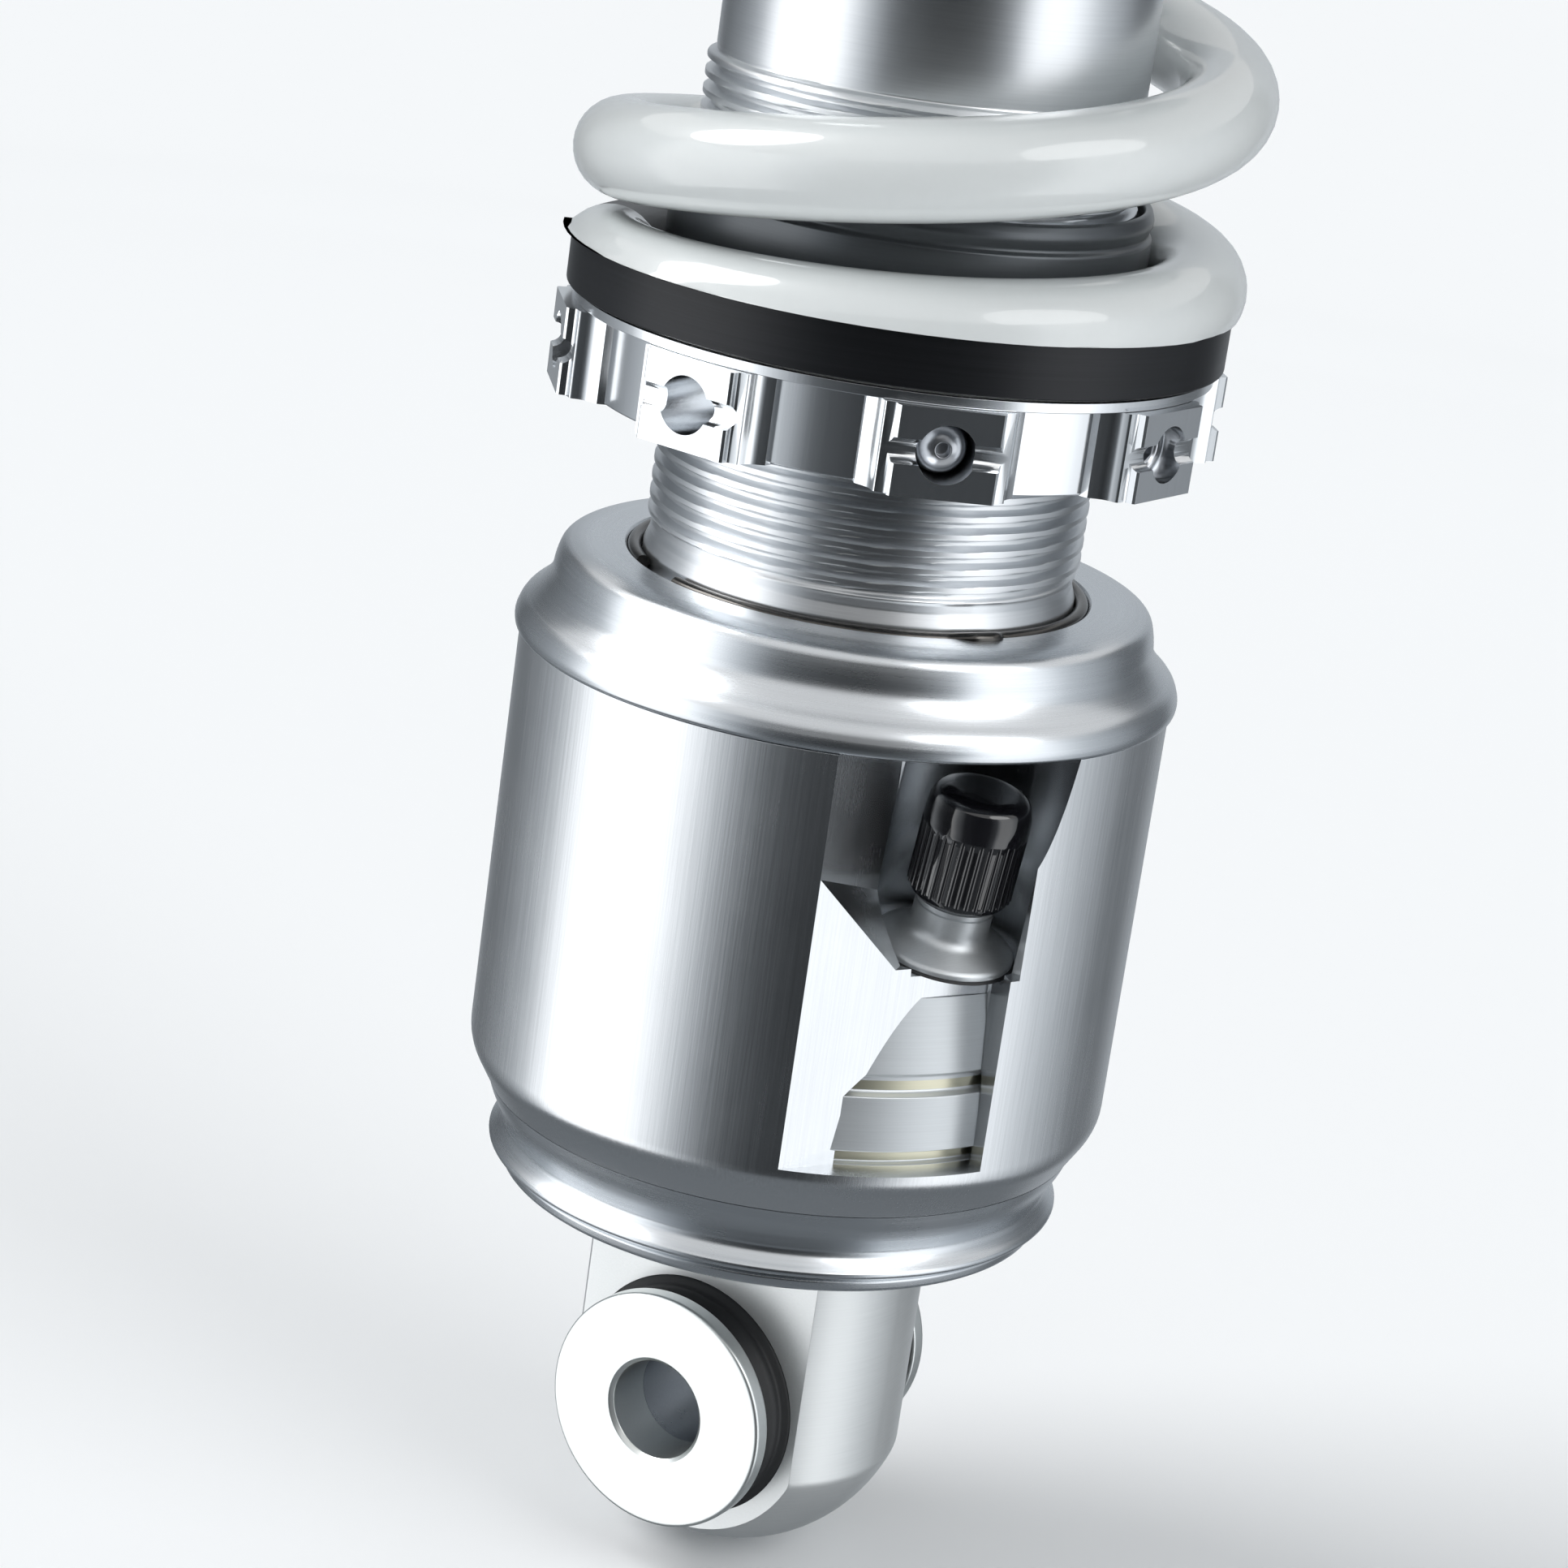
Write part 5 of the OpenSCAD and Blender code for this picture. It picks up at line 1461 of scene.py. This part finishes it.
@dataclass(frozen=True)
class Viewpoint:
    """Camera that looks at the shock as the photograph does.

    Attributes:
        azimuth: azimuth of the camera.
        elevation: height angle of the camera.
        roll: turn of the camera about its line of sight.
        spot: place of the camera, in millimetres.
        focal: focal length in pixels of the image.
        image: width of the image, in pixels.
        sensor: width of the camera's sensor, in millimetres.
    """

    azimuth: float = 29.73
    elevation: float = 17.31
    roll: float = 8.21
    spot: tuple[float, float, float] = (232.1, -416.4, 222.2)
    focal: float = 5283.4
    image: float = 1932.0
    sensor: float = 36.0

    def build(self) -> None:
        """Make the camera and look through it."""
        a, e, t = (math.radians(v) for v in (self.azimuth, self.elevation, self.roll))
        back = Vector((math.sin(a) * math.cos(e), -math.cos(a) * math.cos(e), math.sin(e)))
        level = Vector((math.cos(a), math.sin(a), 0))
        rise = back.cross(level)
        right = level * math.cos(t) + rise * math.sin(t)
        up = rise * math.cos(t) - level * math.sin(t)
        data = bpy.data.cameras.new("photo_camera")
        data.sensor_width = self.sensor
        data.lens = self.focal / self.image * self.sensor
        data.clip_start, data.clip_end = 0.01, 50.0
        camera = bpy.data.objects.new("photo_camera", data)
        bpy.context.scene.collection.objects.link(camera)
        turn = Matrix((right, up, back)).transposed().to_4x4()
        camera.matrix_world = Matrix.Translation(Vector(self.spot) * MM) @ turn
        bpy.context.scene.camera = camera


@dataclass(frozen=True)
class Surround:
    """Round wall of grey and white panels that bare metal mirrors and nothing else sees.

    Attributes:
        panels: azimuth, in degrees, and brightness of each panel's middle.
        ground: brightness of the table below.
        tint: colour of the greys.
        away: distance of the wall, in millimetres.
        low: lower edge of the wall.
        high: upper edge of the wall.
    """

    panels: tuple[Point, ...] = (
        (-180, 0.45), (-146, 0.60), (-118, 0.12), (-92, 0.26), (-72, 0.50), (-62, 1.70), (-22, 1.70),
        (-12, 0.80), (4, 0.10), (30, 0.03), (56, 0.05), (70, 0.30), (80, 1.50), (102, 1.40), (118, 0.70),
        (136, 0.42), (152, 0.16), (170, 0.16), (180, 0.45))
    ground: float = 0.18
    tint: Colour = (0.90, 0.98, 1.06)
    away: float = 900
    low: float = -700
    high: float = 560

    def build(self) -> None:
        """Stand the wall round the shock and lay the table under it."""
        steps = 96
        verts, faces = [], []
        for step in range(steps):
            x, y = polar(360 * step / steps, self.away)
            verts += [Vector((x, y, self.low)), Vector((x, y, self.high))]
            a, b = 2 * step, 2 * ((step + 1) % steps)
            faces.append((a, b, b + 1, a + 1))
        wall = mesh_object("panel_wall", verts, faces)
        wall.data.materials.append(self.shade_wall())
        table = prism("panel_table", [polar(360 * k / steps, self.away) for k in range(steps)],
                      self.low - 20, self.low)
        table.data.materials.append(self.shade_table())
        for panel in (wall, table):
            panel.visible_camera = panel.visible_diffuse = panel.visible_shadow = False

    def shade_wall(self) -> bpy.types.Material:
        """Material that shows each panel's brightness round the wall."""
        wires, light = self._glow("panel_wall")
        split = wires.node("ShaderNodeSeparateXYZ")
        wires.plug(wires.node("ShaderNodeTexCoord").outputs["Object"], split.inputs[0])
        turn = wires.math("ARCTAN2", split.outputs[0], wires.math("MULTIPLY", split.outputs[1], -1.0))
        share = wires.math("ADD", wires.math("DIVIDE", turn, 2 * math.pi), 0.5)
        ramp = wires.node("ShaderNodeValToRGB")
        stops = ramp.color_ramp.elements
        while len(stops) > 1:
            stops.remove(stops[-1])
        for index, (azimuth, bright) in enumerate(self.panels):
            place = azimuth / 360 + 0.5
            stop = stops[0] if index == 0 else stops.new(place)
            stop.position = place
            stop.color = (bright / 2, bright / 2, bright / 2, 1)
        wires.plug(share, ramp.inputs[0])
        tint = wires.mix(ramp.outputs[0], self.tint + (1.0,), (1.0, 1.0, 1.0, 1.0))
        wires.plug(tint, light.inputs["Color"])
        wires.plug(wires.math("MULTIPLY", ramp.outputs[0], 2.0), light.inputs["Strength"])
        return bpy.data.materials["panel_wall"]

    def shade_table(self) -> bpy.types.Material:
        """Material of the dark table."""
        wires, light = self._glow("panel_table")
        light.inputs["Color"].default_value = self.tint + (1.0,)
        light.inputs["Strength"].default_value = self.ground
        return bpy.data.materials["panel_table"]

    @staticmethod
    def _glow(name: str) -> tuple[Wiring, bpy.types.Node]:
        """Start a material that shows its own shade whatever light falls on it."""
        material = bpy.data.materials.new(name)
        material.use_nodes = True
        wires = Wiring(material.node_tree)
        material.node_tree.nodes.remove(material.node_tree.nodes["Principled BSDF"])
        light = wires.node("ShaderNodeEmission")
        wires.plug(light.outputs[0], material.node_tree.nodes["Material Output"].inputs["Surface"])
        return wires, light


class Studio:
    """White room with soft light and a pale floor."""

    def build(self) -> None:
        """Make the world, the lamps, the floor and the panels."""
        scene = bpy.context.scene
        scene.view_settings.view_transform = "Standard"
        self.build_world(scene)
        self.build_floor()
        self.sun("key_sun", azimuth=-62, height=46, power=1.6, spread=34)
        self.sun("side_sun", azimuth=84, height=36, power=0.85, spread=40)
        Surround().build()

    def build_world(self, scene: bpy.types.Scene) -> None:
        """Light the room softly and show plain white to the camera and to bare metal."""
        world = bpy.data.worlds.new("studio_world")
        scene.world = world
        world.use_nodes = True
        wires = Wiring(world.node_tree)
        soft = world.node_tree.nodes["Background"]
        soft.inputs["Color"].default_value = (0.95, 0.98, 1.0, 1.0)
        soft.inputs["Strength"].default_value = 0.48
        white = wires.node("ShaderNodeBackground")
        white.inputs["Strength"].default_value = 1.0
        path = wires.node("ShaderNodeLightPath").outputs
        seen = wires.math("MAXIMUM", path["Is Camera Ray"],
                          wires.math("MAXIMUM", path["Is Glossy Ray"], path["Is Transmission Ray"]))
        mix = wires.node("ShaderNodeMixShader")
        wires.plug(seen, mix.inputs[0])
        wires.plug(soft.outputs[0], mix.inputs[1])
        wires.plug(white.outputs[0], mix.inputs[2])
        wires.plug(mix.outputs[0], world.node_tree.nodes["World Output"].inputs["Surface"])

    def build_floor(self) -> None:
        """Lay the pale floor just under the canister eye."""
        size = 4000
        corners = ((-size, -size), (size, -size), (size, size), (-size, size))
        floor = mesh_object("floor", [Vector((x, y, -21.2)) for x, y in corners], [(0, 1, 2, 3)])
        material = bpy.data.materials.new("pale_floor")
        material.use_nodes = True
        shader = material.node_tree.nodes["Principled BSDF"]
        shader.inputs["Base Color"].default_value = (0.93, 0.94, 0.95, 1.0)
        shader.inputs["Roughness"].default_value = 0.9
        floor.data.materials.append(material)
        floor.visible_glossy = False

    def sun(self, name: str, azimuth: float, height: float, power: float, spread: float) -> None:
        """Hang a broad soft light far away.

        Args:
            name: name of the light.
            azimuth: azimuth that it shines from, in degrees.
            height: its height over the horizon, in degrees.
            power: strength of the light.
            spread: angle that it fills, in degrees.
        """
        data = bpy.data.lights.new(name, "SUN")
        data.energy = power
        data.angle = math.radians(spread)
        light = bpy.data.objects.new(name, data)
        bpy.context.scene.collection.objects.link(light)
        x, y = polar(azimuth, math.cos(math.radians(height)))
        source = Vector((x, y, math.sin(math.radians(height))))
        light.matrix_world = source.to_track_quat("Z", "Y").to_matrix().to_4x4()


def main() -> None:
    """Build the studio and every piece."""
    logging.basicConfig(level=logging.INFO, format="%(name)s: %(message)s")
    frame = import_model()
    shop = Workshop(frame)
    shop.dress_nodes()
    valve = GasValve()
    CanisterCup().build(shop)
    CanisterHousing().build(shop, valve.place())
    CanisterHead().build(shop)
    valve.build(shop)
    EyeBearing(0.0, "lower", "damper", "lower_bush").build(shop)
    EyeBearing(STACK.rod_eye, "upper", "rod", "upper_bush").build(shop)
    DamperTube().build(shop)
    PreloadCollar().build(shop)
    SpringSeat().build(shop)
    CoilSpring().build(shop)
    RodEnd().build(shop)
    Studio().build()
    Viewpoint().build()


if __name__ == "__main__":
    main()
